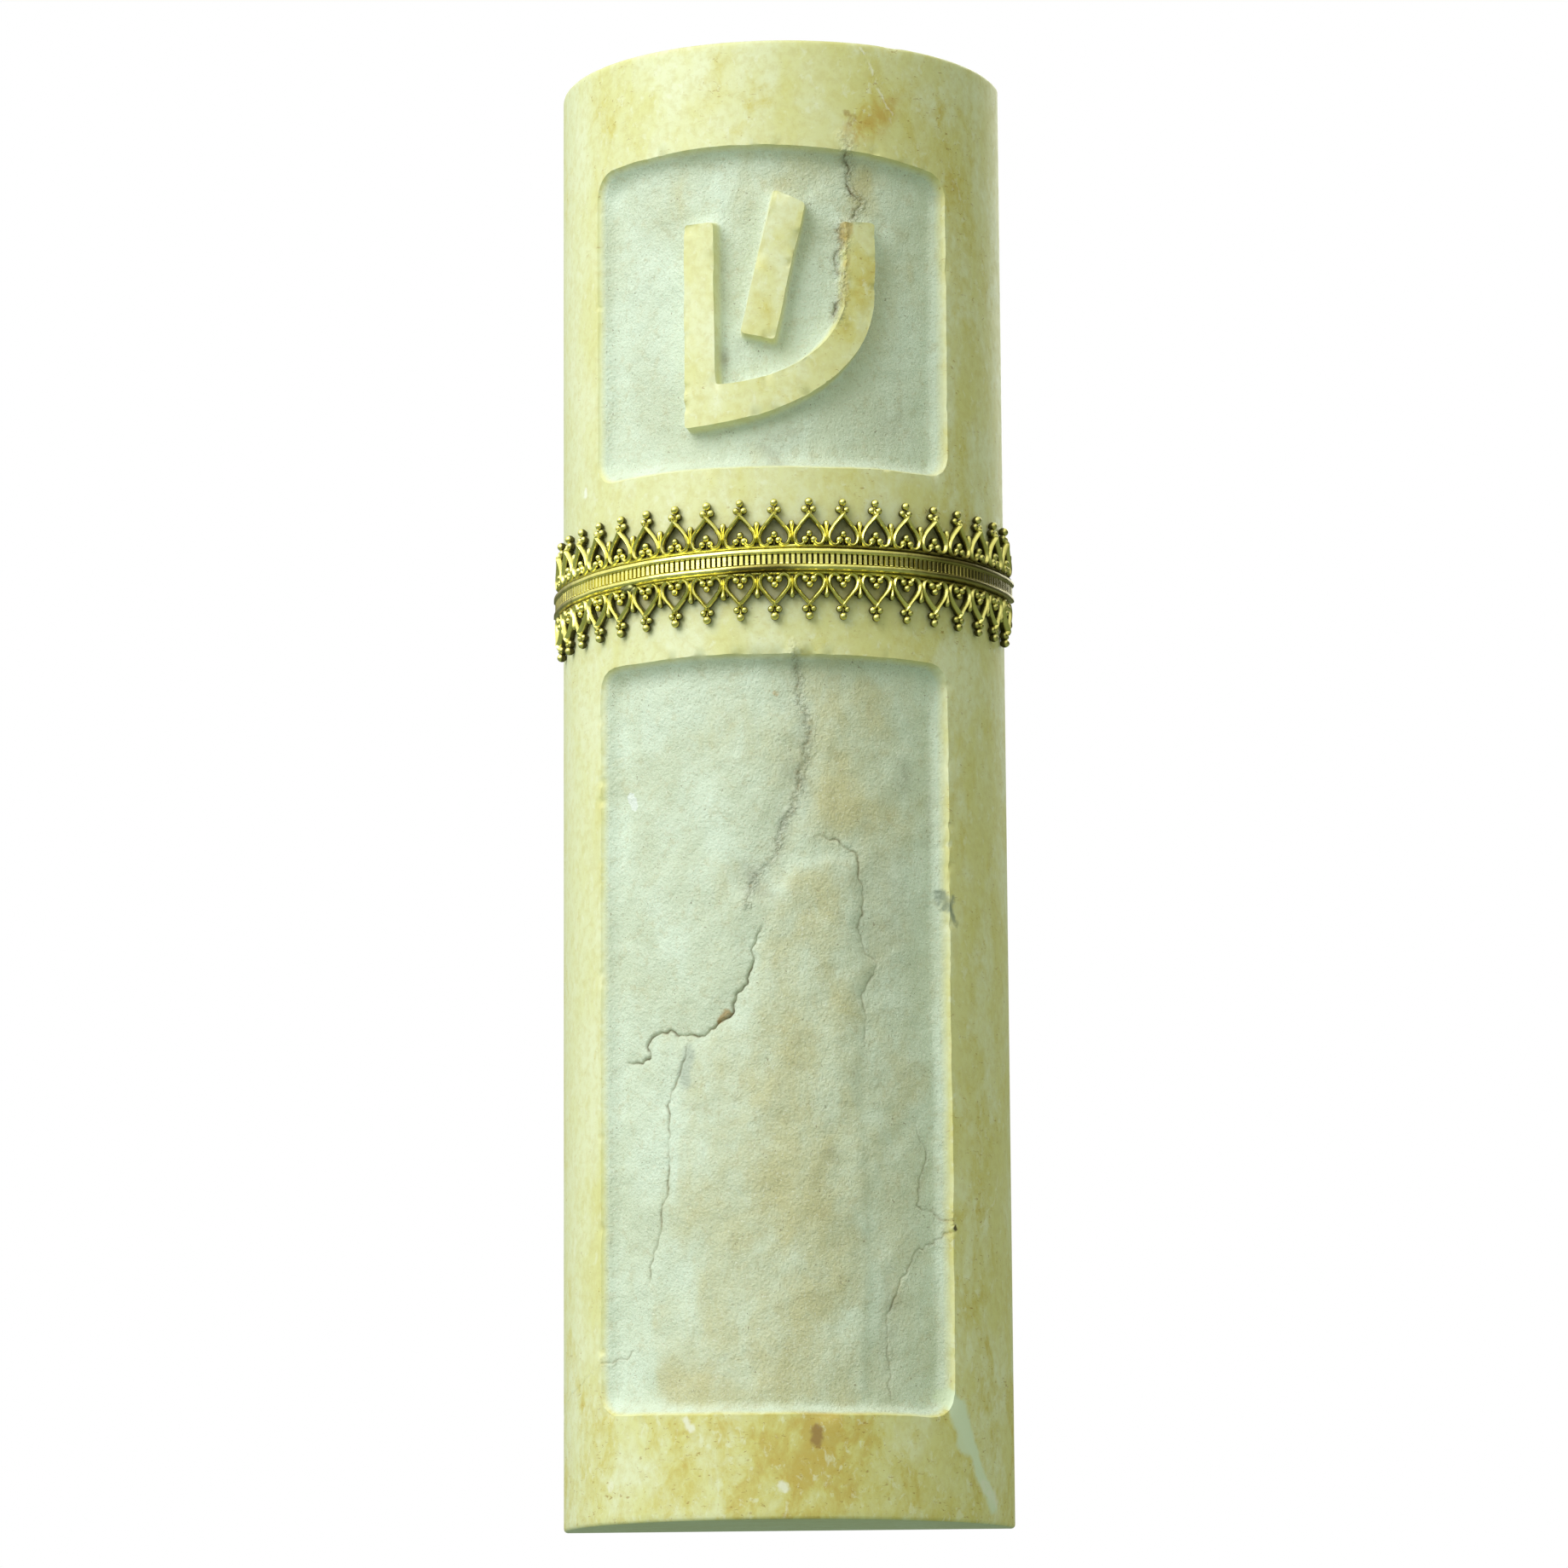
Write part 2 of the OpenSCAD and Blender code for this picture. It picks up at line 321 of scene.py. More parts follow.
# Natural seams in the stone: places (s, v) along each, then its groove's depth and width,
# the depth and width of the soft valley round it, and how ragged it is
SEAMS = {
    "long_valley": ([(2.2, 10.4), (3, 7.5), (3.2, 4.6), (3.6, 2.7), (2.8, -0.3), (1.9, -3.7),
                     (0.9, -5.2), (0.2, -7), (-1.7, -10.4), (-2.5, -12)],
                    0.06, 0.16, 0.4, 1.3, 0.45),
    "left_crack": ([(-0.7, -13.6), (-1.7, -15.6), (-2.1, -18.2), (-3.3, -20.4), (-4, -21.5),
                    (-5.8, -22.9), (-8, -23.5), (-10.9, -22.4), (-12.9, -23.1), (-13.2, -24.8),
                    (-15, -25.4), (-16.6, -25.7)], 0.3, 0.085, 0.28, 1.0, 0.32),
    "left_branch": ([(-8.3, -23.5), (-9.2, -26.1), (-10.7, -29), (-10.6, -32), (-10.9, -37.1),
                     (-11.4, -39.3), (-12.4, -42.2), (-13.2, -45.4)], 0.16, 0.08, 0.12, 0.8, 0.3),
    "right_crack": ([(3.9, -5.9), (6.5, -6.4), (8.5, -7.7), (8.9, -10.7), (8.6, -14.1),
                     (9.1, -16.3), (10, -17.2), (9, -19.7), (8.8, -22.7), (9, -25)],
                    0.12, 0.08, 0.08, 0.8, 0.3),
    "edge_crack": ([(14, -29.7), (14.7, -32), (15.9, -33.4), (14.9, -35.3), (14.5, -38.1),
                    (16.5, -38.6), (17.6, -40.1), (15.8, -41.6), (14.1, -42.4), (12.2, -45.5),
                    (11.1, -47.7), (11.1, -50.7), (11.4, -55.9)], 0.11, 0.075, 0.06, 0.7, 0.32),
    "top_crack": ([(6.9, 56.6), (8.1, 54.5), (8.1, 53.3), (9, 51.4), (8.6, 50.2), (8, 49.6)],
                  0.2, 0.09, 0.12, 0.8, 0.5),
    "arm_crack": ([(7.1, 49.2), (7, 46), (7.15, 43.5), (6.7, 41.9), (6.6, 40.2)],
                  0.14, 0.1, 0.14, 0.8, 0.4),
    "low_crack": ([(-29, -55.1), (-23, -53.4), (-18.5, -51.8), (-15.9, -51), (-14.2, -50.1)],
                  0.1, 0.08, 0.03, 0.5, 0.2),
    "top_scratch": ([(8.7, 65), (10, 62.4), (11.7, 59.2)], 0.05, 0.08, 0, 0.5, 0.04),
}
# How crumbled the stone is beside a seam, where that isn't the usual amount
USUAL_CRUMBLE = 0.25
CRUMBLE = {"long_valley": 0.9, "top_crack": 1.0, "arm_crack": 1.0}


def ragged(points, amount, seed):
    """A seam's path with natural jogs in it."""
    path = resampled(np.array(points, float), 0.16, closed=False)
    flat = flat_points(*path.T)
    shift = (0.8 * noise(flat, 1.7, seed) + 0.6 * noise(flat, 0.8, seed + 50)
             + 0.5 * noise(flat, 0.4, seed + 70))
    ends = smooth_step(0, 0.1, np.linspace(0, 1, len(path)))
    return path + normals(path, closed=False) * (amount * shift * ends)[:, None]


SEAM_PATHS = {name: ragged(seam[0], seam[5], 20 + k)
              for k, (name, seam) in enumerate(SEAMS.items())}


def section(s):
    """Where the stone's outline is at s, and which way is out, on the way round from the crown."""
    side = np.where(s < 0, -1, 1)
    a = np.abs(s)
    angle = np.minimum(a, FRONT_HALF) / RADIUS
    x, y = RADIUS * np.sin(angle), AXIS_Y - RADIUS * np.cos(angle)
    nx, ny = np.sin(angle), -np.cos(angle)
    t = np.clip((a - FRONT_HALF) / BEVEL_RUN, 0, 1)
    end = FRONT_HALF / RADIUS
    p0 = (RADIUS * math.sin(end), AXIS_Y - RADIUS * math.cos(end))
    p2 = (HALF_W - EDGE_BEVEL, BACK_Y)
    bevel = a > FRONT_HALF
    bx = (1 - t) ** 2 * p0[0] + 2 * t * (1 - t) * HALF_W + t * t * p2[0]
    by = (1 - t) ** 2 * p0[1] + 2 * t * (1 - t) * BACK_Y + t * t * p2[1]
    dx = 2 * (1 - t) * (HALF_W - p0[0]) + 2 * t * (p2[0] - HALF_W)
    dy = 2 * (1 - t) * (BACK_Y - p0[1]) + 2 * t * (p2[1] - BACK_Y)
    length = np.maximum(np.hypot(dx, dy), 1e-9)
    x, y = np.where(bevel, bx, x), np.where(bevel, by, y)
    nx, ny = np.where(bevel, dy / length, nx), np.where(bevel, -dx / length, ny)
    back = a >= FRONT_HALF + BEVEL_RUN
    x = np.where(back, BACK_HALF - (a - FRONT_HALF - BEVEL_RUN), x)
    nx, ny = np.where(back, 0, nx), np.where(back, 1, ny)
    return side * x, y, side * nx, ny


def stone_points(sv, sink):
    """Places in space of points (s, v), each pushed in by sink."""
    s, v = sv.T
    x, y, nx, ny = section(s)
    over = np.clip((np.abs(v) - (HALF_H - END_ROUND)) / END_ROUND, 0, math.pi / 2)
    z = np.where(over > 0, np.sign(v) * (HALF_H - END_ROUND + END_ROUND * np.sin(over)), v)
    inset = sink + END_ROUND * (1 - np.cos(over))
    return np.stack([x - nx * inset, y - ny * inset, z], 1)


# A slab of the lower panel's floor that stands a little proud, its left edge on the cracks
SLAB_LEFT, SLAB_RIGHT = SEAM_PATHS["left_crack"], SEAM_PATHS["right_crack"][::-1]
SLAB = np.vstack([SLAB_LEFT[:int(0.52 * len(SLAB_LEFT))], SEAM_PATHS["left_branch"],
                  [(-12.5, -56), (9, -56), (9.6, -46), (9.5, -38), (8.6, -27)],
                  SLAB_RIGHT[:int(0.78 * len(SLAB_RIGHT))],
                  [(5.6, -7.6), (1.8, -8.6), (0.2, -11.4)]])


def cove(distance, width, power):
    """0 at an edge and 1 at width and beyond, steepest at the edge."""
    return 1 - (1 - np.clip(distance / width, 0, 1)) ** power


def stone_relief(sv):
    """How deep each point is sunk, how sandblasted it is, and how cracked and crumbled."""
    s, v = sv.T
    flat = flat_points(s, v)
    from_upper, from_lower = signed_distance(sv, UPPER_PANEL), signed_distance(sv, LOWER_PANEL)
    from_letter = np.maximum(*[signed_distance(sv, part) for part in LETTER])
    wall = 1.45 - 0.4 * s / PANEL_HALF
    steep = cove(-from_letter, 0.55, 2.6)
    sunk = np.maximum(cove(from_upper, wall, 2.3) * steep, cove(from_lower, wall, 2.3))
    blasted = np.maximum(np.minimum(from_upper, -from_letter), from_lower)
    floor = smooth_step(0.1, 1.6, blasted)
    depth = SINK * sunk
    depth += floor * (0.17 * fractal(flat, 9, 31, 2) + 0.18 * fractal(flat, 3.2, 33, 3)
                      + 0.03 * noise(flat, 0.75, 35))
    depth -= 0.22 * floor * smooth_step(-0.1, 1.1, signed_distance(sv, SLAB))
    honed = 1 - smooth_step(-0.05, 0.25, blasted)
    depth += honed * (0.035 * fractal(flat, 14, 41, 2) + 0.006 * noise(flat, 1.5, 43))
    crumbs = np.clip(noise(flat, 0.9, 45) + 0.6 * noise(flat, 2.5, 47) - 0.55, 0, 1)
    depth += 0.3 * crumbs * np.exp(-(blasted / 0.28) ** 2)
    ends = np.exp(-((V_HALF - np.abs(v)) / 0.5) ** 2)
    depth += 0.3 * ends * np.clip(noise(flat, 1.2, 48) + 0.7 * noise(flat, 4, 49) - 0.7, 0, 1)
    crack, crumble = np.zeros(len(sv)), np.zeros(len(sv))
    for k, (name, path) in enumerate(SEAM_PATHS.items()):
        _, groove, width, valley, reach, _ = SEAMS[name]
        d, along = distance_to(sv, path, closed=False)
        near = d < 4 * reach
        taper = smooth_step(0, 0.08, along) * smooth_step(0, 0.08, 1 - along)
        rough = 0.75 + 0.5 * noise(flat[near], 1.3, 60 + k)
        line = np.exp(-(d[near] / (width * (0.7 + 0.6 * rough))) ** 2) * taper[near] * rough
        slope = np.exp(-(d[near] / reach) ** 1.25) * taper[near]
        on_panel = 0.35 + 0.65 * smooth_step(-0.3, 0.3, blasted[near])
        depth[near] += (groove * line + valley * slope) * on_panel
        crack[near] = np.maximum(crack[near], line * on_panel * min(1, groove / 0.2))
        beside = np.exp(-(d[near] / 0.55) ** 2) * on_panel * CRUMBLE.get(name, USUAL_CRUMBLE)
        crumble[near] = np.maximum(crumble[near], beside)
    front = smooth_step(0, 0.6, FRONT_HALF - np.abs(s))
    blasted = smooth_step(0.02, 0.42, blasted)
    return [values * front for values in (depth, blasted, crack, crumble)]


# Ochre stains on the honed stone: s, v, half width, half height, strength
STAINS = [(-17.5, 59.8, 2.6, 6, 0.4), (-6.5, 60, 2.2, 5, 0.2), (-1.3, 60.5, 1.4, 5, 0.35),
          (10.5, 60.5, 3, 4.5, 0.5), (14, 57, 2.5, 2.5, 0.4), (-27, 5, 2.5, 18, 0.05),
          (-21, -5, 4, 15, -0.4), (0.8, -61, 3, 6, 0.45), (-28, -30, 2.4, 24, 0.45),
          (-22, -52, 3, 9, 0.2), (-20.5, 45, 1.4, 9, 0.2), (20.5, 20, 2.2, 10, 0.3),
          (20, 50, 2.6, 12, 0.35), (9.7, 58.5, 2.1, 1.1, 0.8), (8.1, 57.6, 0.8, 0.7, 0.5),
          (21, -10, 3, 16, 0.05), (18, 58, 4, 8, 0.3), (19, 26, 3, 6, 0.25),
          (20, -42, 3, 10, 0.2), (20.5, -40, 3, 16, 0.35), (-2, -60, 1.9, 5, 0.4),
          (3.9, -60, 2, 6, 0.6), (7.6, -60, 1.6, 6, 0.5), (-10, -61, 3.6, 3.4, 0.2),
          (13, -61.5, 3.5, 3, 0.05), (-6, 23.5, 5, 1.6, 0.15), (6, 24.6, 5, 1.2, 0.25),
          (13.5, 12, 2.4, 2.4, 0.35), (8.9, 42, 1.5, 6, 0.75), (0, 41, 1.7, 3.4, 0.55),
          (-6, 33, 2, 3.5, 0.25), (2.5, 33.5, 3, 1.6, 0.3), (-14, -60, 2.5, 5, -0.4),
          (11, -58, 2, 3, -0.3), (5, 60, 2.2, 5, -0.35), (-24, -61, 3, 5, -0.3),
          (22, -62, 3, 4, -0.3)]
# Tan patches and grey ones on the panel floors, in the same form; the grey ones are mostly painted
# shade
TANS = [(-8, 52, 7, 3, 0.3), (4, 53, 6, 2.2, 0.4), (12, 44, 5, 8, 0.3), (0, 28.5, 8, 1.6, 0.25),
        (9.2, 52.6, 2, 3.2, 0.5), (-6.5, 3, 5.5, 4, 0.35), (5.5, 0, 4, 6, 0.5), (9, -4, 5, 3, 0.4),
        (6, -22, 9, 34, 0.25), (0, -44, 9, 14, 0.2), (-10, -54, 5, 3, 0.4), (10, 6, 6, 3, 0.4),
        (-4, -12, 3, 3, 0.3), (14, -48, 3, 8, 0.3), (12.5, -30, 3.4, 10, 0.35),
        (-5, -7, 4, 4, 0.15), (-14.5, -22, 4, 26, -0.8), (-12, 5, 4, 6, -0.25)]
GREYS = [(2.7, 4, 0.8, 3, 0.2), (2.6, -1.4, 0.9, 3, 0.3), (1, -5.6, 0.9, 2, 0.4),
         (-1.8, -10.6, 1, 1.6, 0.5), (-3.6, 36.6, 0.8, 1.1, 0.5), (-5.8, 44, 0.7, 1.4, 0.25),
         (0.6, 29, 1.4, 2.2, 0.35), (12.4, 32, 1.2, 1.8, 0.25), (5.8, -34, 1, 1.2, 0.25),
         (16.2, -4, 0.9, 4, 0.25), (-6, -52, 1.4, 1, 0.2), (10.8, -48, 1.2, 5, 0.25),
         (2.6, 33.2, 5, 0.5, 0.15), (12.5, 0.5, 0.8, 1.6, 0.35), (11, -13, 3, 6, 0.2)]


def blobs(sv, places):
    total = np.zeros(len(sv))
    for s, v, half_s, half_v, strength in places:
        away = ((sv[:, 0] - s) / half_s) ** 2 + ((sv[:, 1] - v) / half_v) ** 2
        total += strength * np.exp(-away)
    return total


def stone_colours(sv):
    """How ochre, how tan and how grey the stone is at each point; the grey is mostly painted shade.
    """
    flat = flat_points(*sv.T)
    moved = (sv + 1.3 * np.stack([noise(flat, 3, 101), noise(flat, 3, 102)], 1)
             + 0.5 * np.stack([noise(flat, 0.9, 103), noise(flat, 0.9, 104)], 1))
    # More ochre towards the right, which lies in shade: partly the stone's tone, partly painted
    # shade
    ochre = (blobs(moved, STAINS) + 0.45 * smooth_step(-50, -58, moved[:, 1])
             + 0.12 * smooth_step(-5, 22, moved[:, 0]) + 0.05 * smooth_step(20, -40, moved[:, 1]))
    slab = smooth_step(-0.1, 1.2, signed_distance(sv, SLAB)) * smooth_step(11, 4, moved[:, 0])
    return ochre, blobs(moved, TANS) + 0.35 * slab, blobs(moved, GREYS)


def rings(outline, offsets, step):
    """Rows of points beside a closed outline, to the inside for a positive offset."""
    line = resampled(outline, step)
    out_way = normals(line)
    out = []
    for offset in offsets:
        row = line - out_way * offset
        keep = np.abs(signed_distance(row, outline) - offset) < 0.03
        out.append(row[keep])
    return np.vstack(out)


def thinned(points, gap):
    """The points without those that share a cell of that size with an earlier one."""
    cells = np.round(points / gap).astype(np.int64)
    _, first = np.unique(cells, axis=0, return_index=True)
    return points[np.sort(first)]


def grid(s_low, s_high, v_low, v_high, step):
    s = np.linspace(s_low, s_high, max(2, int((s_high - s_low) / step)))
    v = np.linspace(v_low, v_high, max(2, int((v_high - v_low) / step)))
    return np.stack(np.meshgrid(s, v), -1).reshape(-1, 2)


def stone_layout():
    """The points (s, v) of the stone's wall: closest where its relief is finest."""
    edge_rows = V_HALF - END_ROUND * math.pi / 2 * np.array([0, 0.34, 0.67, 1, 1.8])
    bevel_s = FRONT_HALF + BEVEL_RUN * np.array([0, 0.25, 0.5, 0.75, 1])
    back_s = FRONT_HALF + BEVEL_RUN + np.linspace(0, BACK_HALF, 8)[1:]
    half_s = np.concatenate([np.arange(0.35, FRONT_HALF - 0.2, 0.7), bevel_s, back_s])
    all_s = np.concatenate([-half_s[::-1], half_s])
    rows = np.stack(np.meshgrid(all_s, np.concatenate([-edge_rows, edge_rows])), -1).reshape(-1, 2)
    top = V_HALF - 1.2
    side_v = np.linspace(-top, top, 150)
    bevels = np.stack(np.meshgrid(np.concatenate([-bevel_s, bevel_s]), side_v), -1).reshape(-1, 2)
    back = np.stack(np.meshgrid(np.concatenate([-back_s, back_s]), side_v[::6]), -1).reshape(-1, 2)
    fixed = [rows, bevels, back]
    panel_offsets = (-0.3, -0.1, 0, 0.1, 0.24, 0.42, 0.65, 0.95, 1.3)
    letter_offsets = (0.25, 0.08, 0, -0.08, -0.18, -0.32, -0.52)
    fine = [rings(UPPER_PANEL, panel_offsets, 0.26), rings(LOWER_PANEL, panel_offsets, 0.26)]
    fine += [rings(part, letter_offsets, 0.2) for part in LETTER]
    for path in SEAM_PATHS.values():
        line = resampled(path, 0.15, closed=False)
        side = normals(line, closed=False)
        fine += [line + side * offset
                 for offset in (0, 0.07, -0.07, 0.16, -0.16, 0.32, -0.32, 0.6, -0.6)]
    fine = thinned(np.vstack(fine), 0.065)
    cell, floor_half, floor_step, honed_half = 0.3, PANEL_HALF - 1, 0.36, FRONT_HALF - 0.4
    taken = {tuple(c) for c in np.round(fine / cell).astype(int)}
    loose = [grid(-floor_half, floor_half, 27.5, 55, floor_step),
             grid(-floor_half, floor_half, -56, 9.5, floor_step),
             grid(-honed_half, honed_half, -top, top, 0.62)]
    kept = []
    for k, points in enumerate(loose):
        on_floor = np.maximum(signed_distance(points, UPPER_PANEL),
                              signed_distance(points, LOWER_PANEL))
        points = points[on_floor > 0.9] if k < 2 else points[on_floor < -0.35]
        near = [any((a + i, b + j) in taken for i in (-1, 0, 1) for j in (-1, 0, 1))
                for a, b in np.round(points / cell).astype(int)]
        kept.append(points[~np.array(near)])
    fine = fine[(np.abs(fine[:, 0]) < FRONT_HALF - 0.3) & (np.abs(fine[:, 1]) < top)]
    return np.vstack(fixed + [fine] + kept)


def wall_mesh():
    """The stone's whole wall, back included, and its two flat ends, as one closed mesh."""
    sv = stone_layout()
    found = delaunay_2d_cdt([Vector(p) for p in sv.tolist()], [], [], 0, 1e-4)
    sv = np.array([tuple(p) for p in found[0]])
    faces = [tuple(f) for f in found[2]]
    seam = np.abs(np.abs(sv[:, 0]) - LOOP_HALF) < 1e-3
    index = np.arange(len(sv))
    right = {round(sv[i, 1], 3): i for i in index[seam & (sv[:, 0] > 0)]}
    for i in index[seam & (sv[:, 0] < 0)]:
        index[i] = right[round(sv[i, 1], 3)]
    faces = [tuple(index[i] for i in f) for f in faces]
    depth, blasted, crack, crumble = stone_relief(sv)
    points = stone_points(sv, depth)
    for end in (-1, 1):
        rim = np.where(np.abs(sv[:, 1] - end * V_HALF) < 1e-3)[0]
        rim = rim[(sv[rim, 0] > -LOOP_HALF + 1e-3)]
        rim = rim[np.argsort(sv[rim, 0])]
        faces.append(tuple(rim if end > 0 else rim[::-1]))
    used, new = np.unique(np.concatenate([np.array(f) for f in faces]), return_inverse=True)
    sizes = np.cumsum([0] + [len(f) for f in faces])
    faces = [tuple(new[a:b]) for a, b in zip(sizes, sizes[1:])]
    values = {"blasted": blasted[used], "crack": crack[used], "crumble": crumble[used]}
    return points[used], faces, sv[used], values


def prism(name, outline, y_front, y_back, material):
    """A closed block with that outline in x and z."""
    count = len(outline)
    points = np.vstack([np.column_stack([outline[:, 0], np.full(count, y), outline[:, 1]])
                        for y in (y_front, y_back)])
    return make_mesh(name, points, ring_faces(2, count), material, 30)


def cut_away(obj, tools):
    for tool in tools:
        cut = obj.modifiers.new("cut", "BOOLEAN")
        cut.operation = "DIFFERENCE"
        cut.solver = "MANIFOLD"
        cut.object = tool
    applied(obj)
    for tool in tools:
        bpy.data.objects.remove(tool)


def circle(z, r):
    a = np.linspace(0, 2 * math.pi, 48, endpoint=False)
    return np.stack([r * np.cos(a), z + r * np.sin(a)], 1)


def build_stone(material):
    points, faces, places, values = wall_mesh()
    values["front"] = (np.abs(places[:, 0]) < FRONT_HALF + BEVEL_RUN) * 1.0
    values["ochre"], values["tan"], values["grey"] = stone_colours(places)
    stone = make_mesh("stone_body", points, faces, material, 180)
    add_places(stone, "place", flat_points(*places.T))
    for name, numbers in values.items():
        add_values(stone, name, numbers)
    cover_low, cover_high = box_mm("back_cover")
    tube_low, tube_high = box_mm("scroll_tube")
    plug_low, plug_high = box_mm("upper_screw_plug")
    ledge_y = cover_low[1]
    cover_gap, tube_gap, slot_end, past = 0.3, 0.4, 11.5, BACK_Y + 1
    half_w, half_h = cover_high[0] + cover_gap, cover_high[2] + cover_gap
    slot_w, slot_h = tube_high[0] + tube_gap, HALF_H - slot_end
    rebate = rounded_rectangle(-half_w, half_w, -half_h, half_h, 2)
    slot = rounded_rectangle(-slot_w, slot_w, -slot_h, slot_h, 1.5)
    tools = [prism("rebate_tool", rebate, ledge_y, past, material),
             prism("slot_tool", slot, tube_low[1] - cover_gap, past, material)]
    for side in (-1, 1):
        z = side * (plug_low[2] + plug_high[2]) / 2
        hole = circle(z, plug_high[0])
        tools.append(prism("plug_tool", hole, plug_low[1], past, material))
    cut_away(stone, tools)
    stone.data.set_sharp_from_angle(angle=math.radians(50))
    return stone


# ---- The brass gallery band ----

STRIP_MID_H = 0.7
PITCH_ANGLE = math.radians(8.47)
PITCH = PITCH_ANGLE * (RADIUS + STRIP_MID_H)
MOTIF_SHIFT = math.radians(1.7)
BAND_SKEW = 0.35
# Where the painted shade and grime inside the hearts start round the stone, and their spacing
GRIME_SHADE_START = MOTIF_SHIFT * RADIUS
GRIME_SHADE_PITCH = PITCH_ANGLE * RADIUS


class Shell:
    """Gathers closed pieces of mesh."""

    def __init__(self):
        self.points, self.faces, self.count = [], [], 0

    def add(self, points, faces):
        self.points.append(np.asarray(points, float))
        self.faces += [tuple(int(i) + self.count for i in f) for f in faces]
        self.count += len(points)


def ball(centre, radius, around=12, rows=7, stretch=(1, 1, 1)):
    """A bead in (u, w, h), its pole outwards."""
    points = [(0, 0, 1)]
    for k in range(1, rows):
        a = math.pi * k / rows
        points += [(math.sin(a) * math.cos(b), math.sin(a) * math.sin(b), math.cos(a))
                   for b in np.linspace(0, 2 * math.pi, around, endpoint=False)]
    points.append((0, 0, -1))
    faces = [(0, 1 + i, 1 + (i + 1) % around) for i in range(around)]
    for k in range(rows - 2):
        a, b = 1 + k * around, 1 + (k + 1) * around
        faces += [(a + i, b + i, b + (i + 1) % around, a + (i + 1) % around)
                  for i in range(around)]
    last, end = 1 + (rows - 2) * around, len(points) - 1
    faces += [(end, last + (i + 1) % around, last + i) for i in range(around)]
    return np.array(points) * radius * np.array(stretch) + np.array(centre), faces


def wire(path, half_w, half_h):
    """A wire along a path in (u, w, h), taller than it is wide where half_h says so."""
    path = np.asarray(path, float)
    count, around = len(path), 8
    side = np.zeros_like(path)
    side[:, :2] = normals(path[:, :2], closed=False)
    half_w, half_h = np.broadcast_to(half_w, count), np.broadcast_to(half_h, count)
    a = np.linspace(0, 2 * math.pi, around, endpoint=False)
    points = (path[:, None] + side[:, None] * (half_w[:, None] * np.cos(a))[..., None]
              + np.array([0, 0, 1.0]) * (half_h[:, None] * np.sin(a))[..., None]).reshape(-1, 3)
    return points, ring_faces(count, around)


def spline(knots):
    """A smooth path through a few knots."""
    knots = np.array(knots, float)
    padded = np.vstack([2 * knots[0] - knots[1], knots, 2 * knots[-1] - knots[-2]])
    out = []
    for k in range(len(knots) - 1):
        p0, p1, p2, p3 = padded[k:k + 4]
        for t in np.linspace(0, 1, 5, endpoint=False):
            out.append(0.5 * (2 * p1 + (p2 - p0) * t + (2 * p0 - 5 * p1 + 4 * p2 - p3) * t * t
                              + (3 * p1 - 3 * p2 + p3 - p0) * t ** 3))
    out.append(knots[-1])
    return np.array(out)


# One half of a heart loop, from where its wires cross to the curl at its foot: u, w, h
HEART_WIRE = [(-0.2, 4.3, 0.4), (-0.02, 3.98, 0.5), (0.38, 3.5, 0.46), (0.84, 2.98, 0.44),
              (1.2, 2.44, 0.44), (1.31, 1.94, 0.44), (1.16, 1.5, 0.43), (0.84, 1.3, 0.42),
              (0.58, 1.4, 0.42), (0.46, 1.6, 0.42)]
# The strip's section, w and h: its lower edge and rail, then the channel's floor
STRIP_PROFILE = [(-1.42, 0.0), (-1.42, 0.3), (-1.34, 0.52), (-1.22, 0.62), (-1.12, 0.58),
                 (-1.06, 0.48), (-1.0, 0.56), (-0.95, 0.74), (-0.86, 0.88), (-0.62, 0.88),
                 (-0.49, 0.83), (-0.46, 0.74), (-0.44, 0.46)]
CHANNEL = [(-0.4, 0.42), (-0.34, 0.42), (0.0, 0.42), (0.34, 0.42), (0.4, 0.42)]


def heart(shell, rng):
    """The pieces of one heart loop with its beads, upright, its base on the strip."""
    for side in (-1, 1):
        path = spline(HEART_WIRE)
        path[:, 0] *= side
        path += rng.normal(0, 0.012, 3)
        half_w = np.full(len(path), 0.205)
        half_w[:8] *= np.linspace(0.55, 1, 8)
        half_w[-6:] *= np.linspace(1, 0.75, 6)
        half_w = half_w * rng.uniform(0.95, 1.08)
        shell.add(*wire(path, half_w, path[:, 2] - 0.02))
        inner_r, outer_r = 0.34 * rng.uniform(0.92, 1.06), 0.315 * rng.uniform(0.92, 1.08)
        shell.add(*ball((side * 0.38, 1.74, 0.44), inner_r, stretch=(1, 1, 1.25)))
        shell.add(*ball((side * 0.35, 4.4, 0.36), outer_r, stretch=(1, 1, 1.15)))
    shell.add(*ball((0, 2.26, 0.44), 0.33 * rng.uniform(0.9, 1.08), stretch=(1, 1, 1.25)))
    shell.add(*ball((0, 5.04, 0.4), 0.37 * rng.uniform(0.94, 1.05), 14, 9, (1, 1, 1.15)))
    stem = [(0, 1.1, 0.2), (0, 1.5, 0.24), (0, 2.0, 0.24)]
    shell.add(*wire(stem, (0.3, 0.18, 0.12), (0.2, 0.2, 0.2)))
    shell.add(*wire([(0, 4.3, 0.25), (0, 4.75, 0.28)], (0.2, 0.16), (0.22, 0.24)))


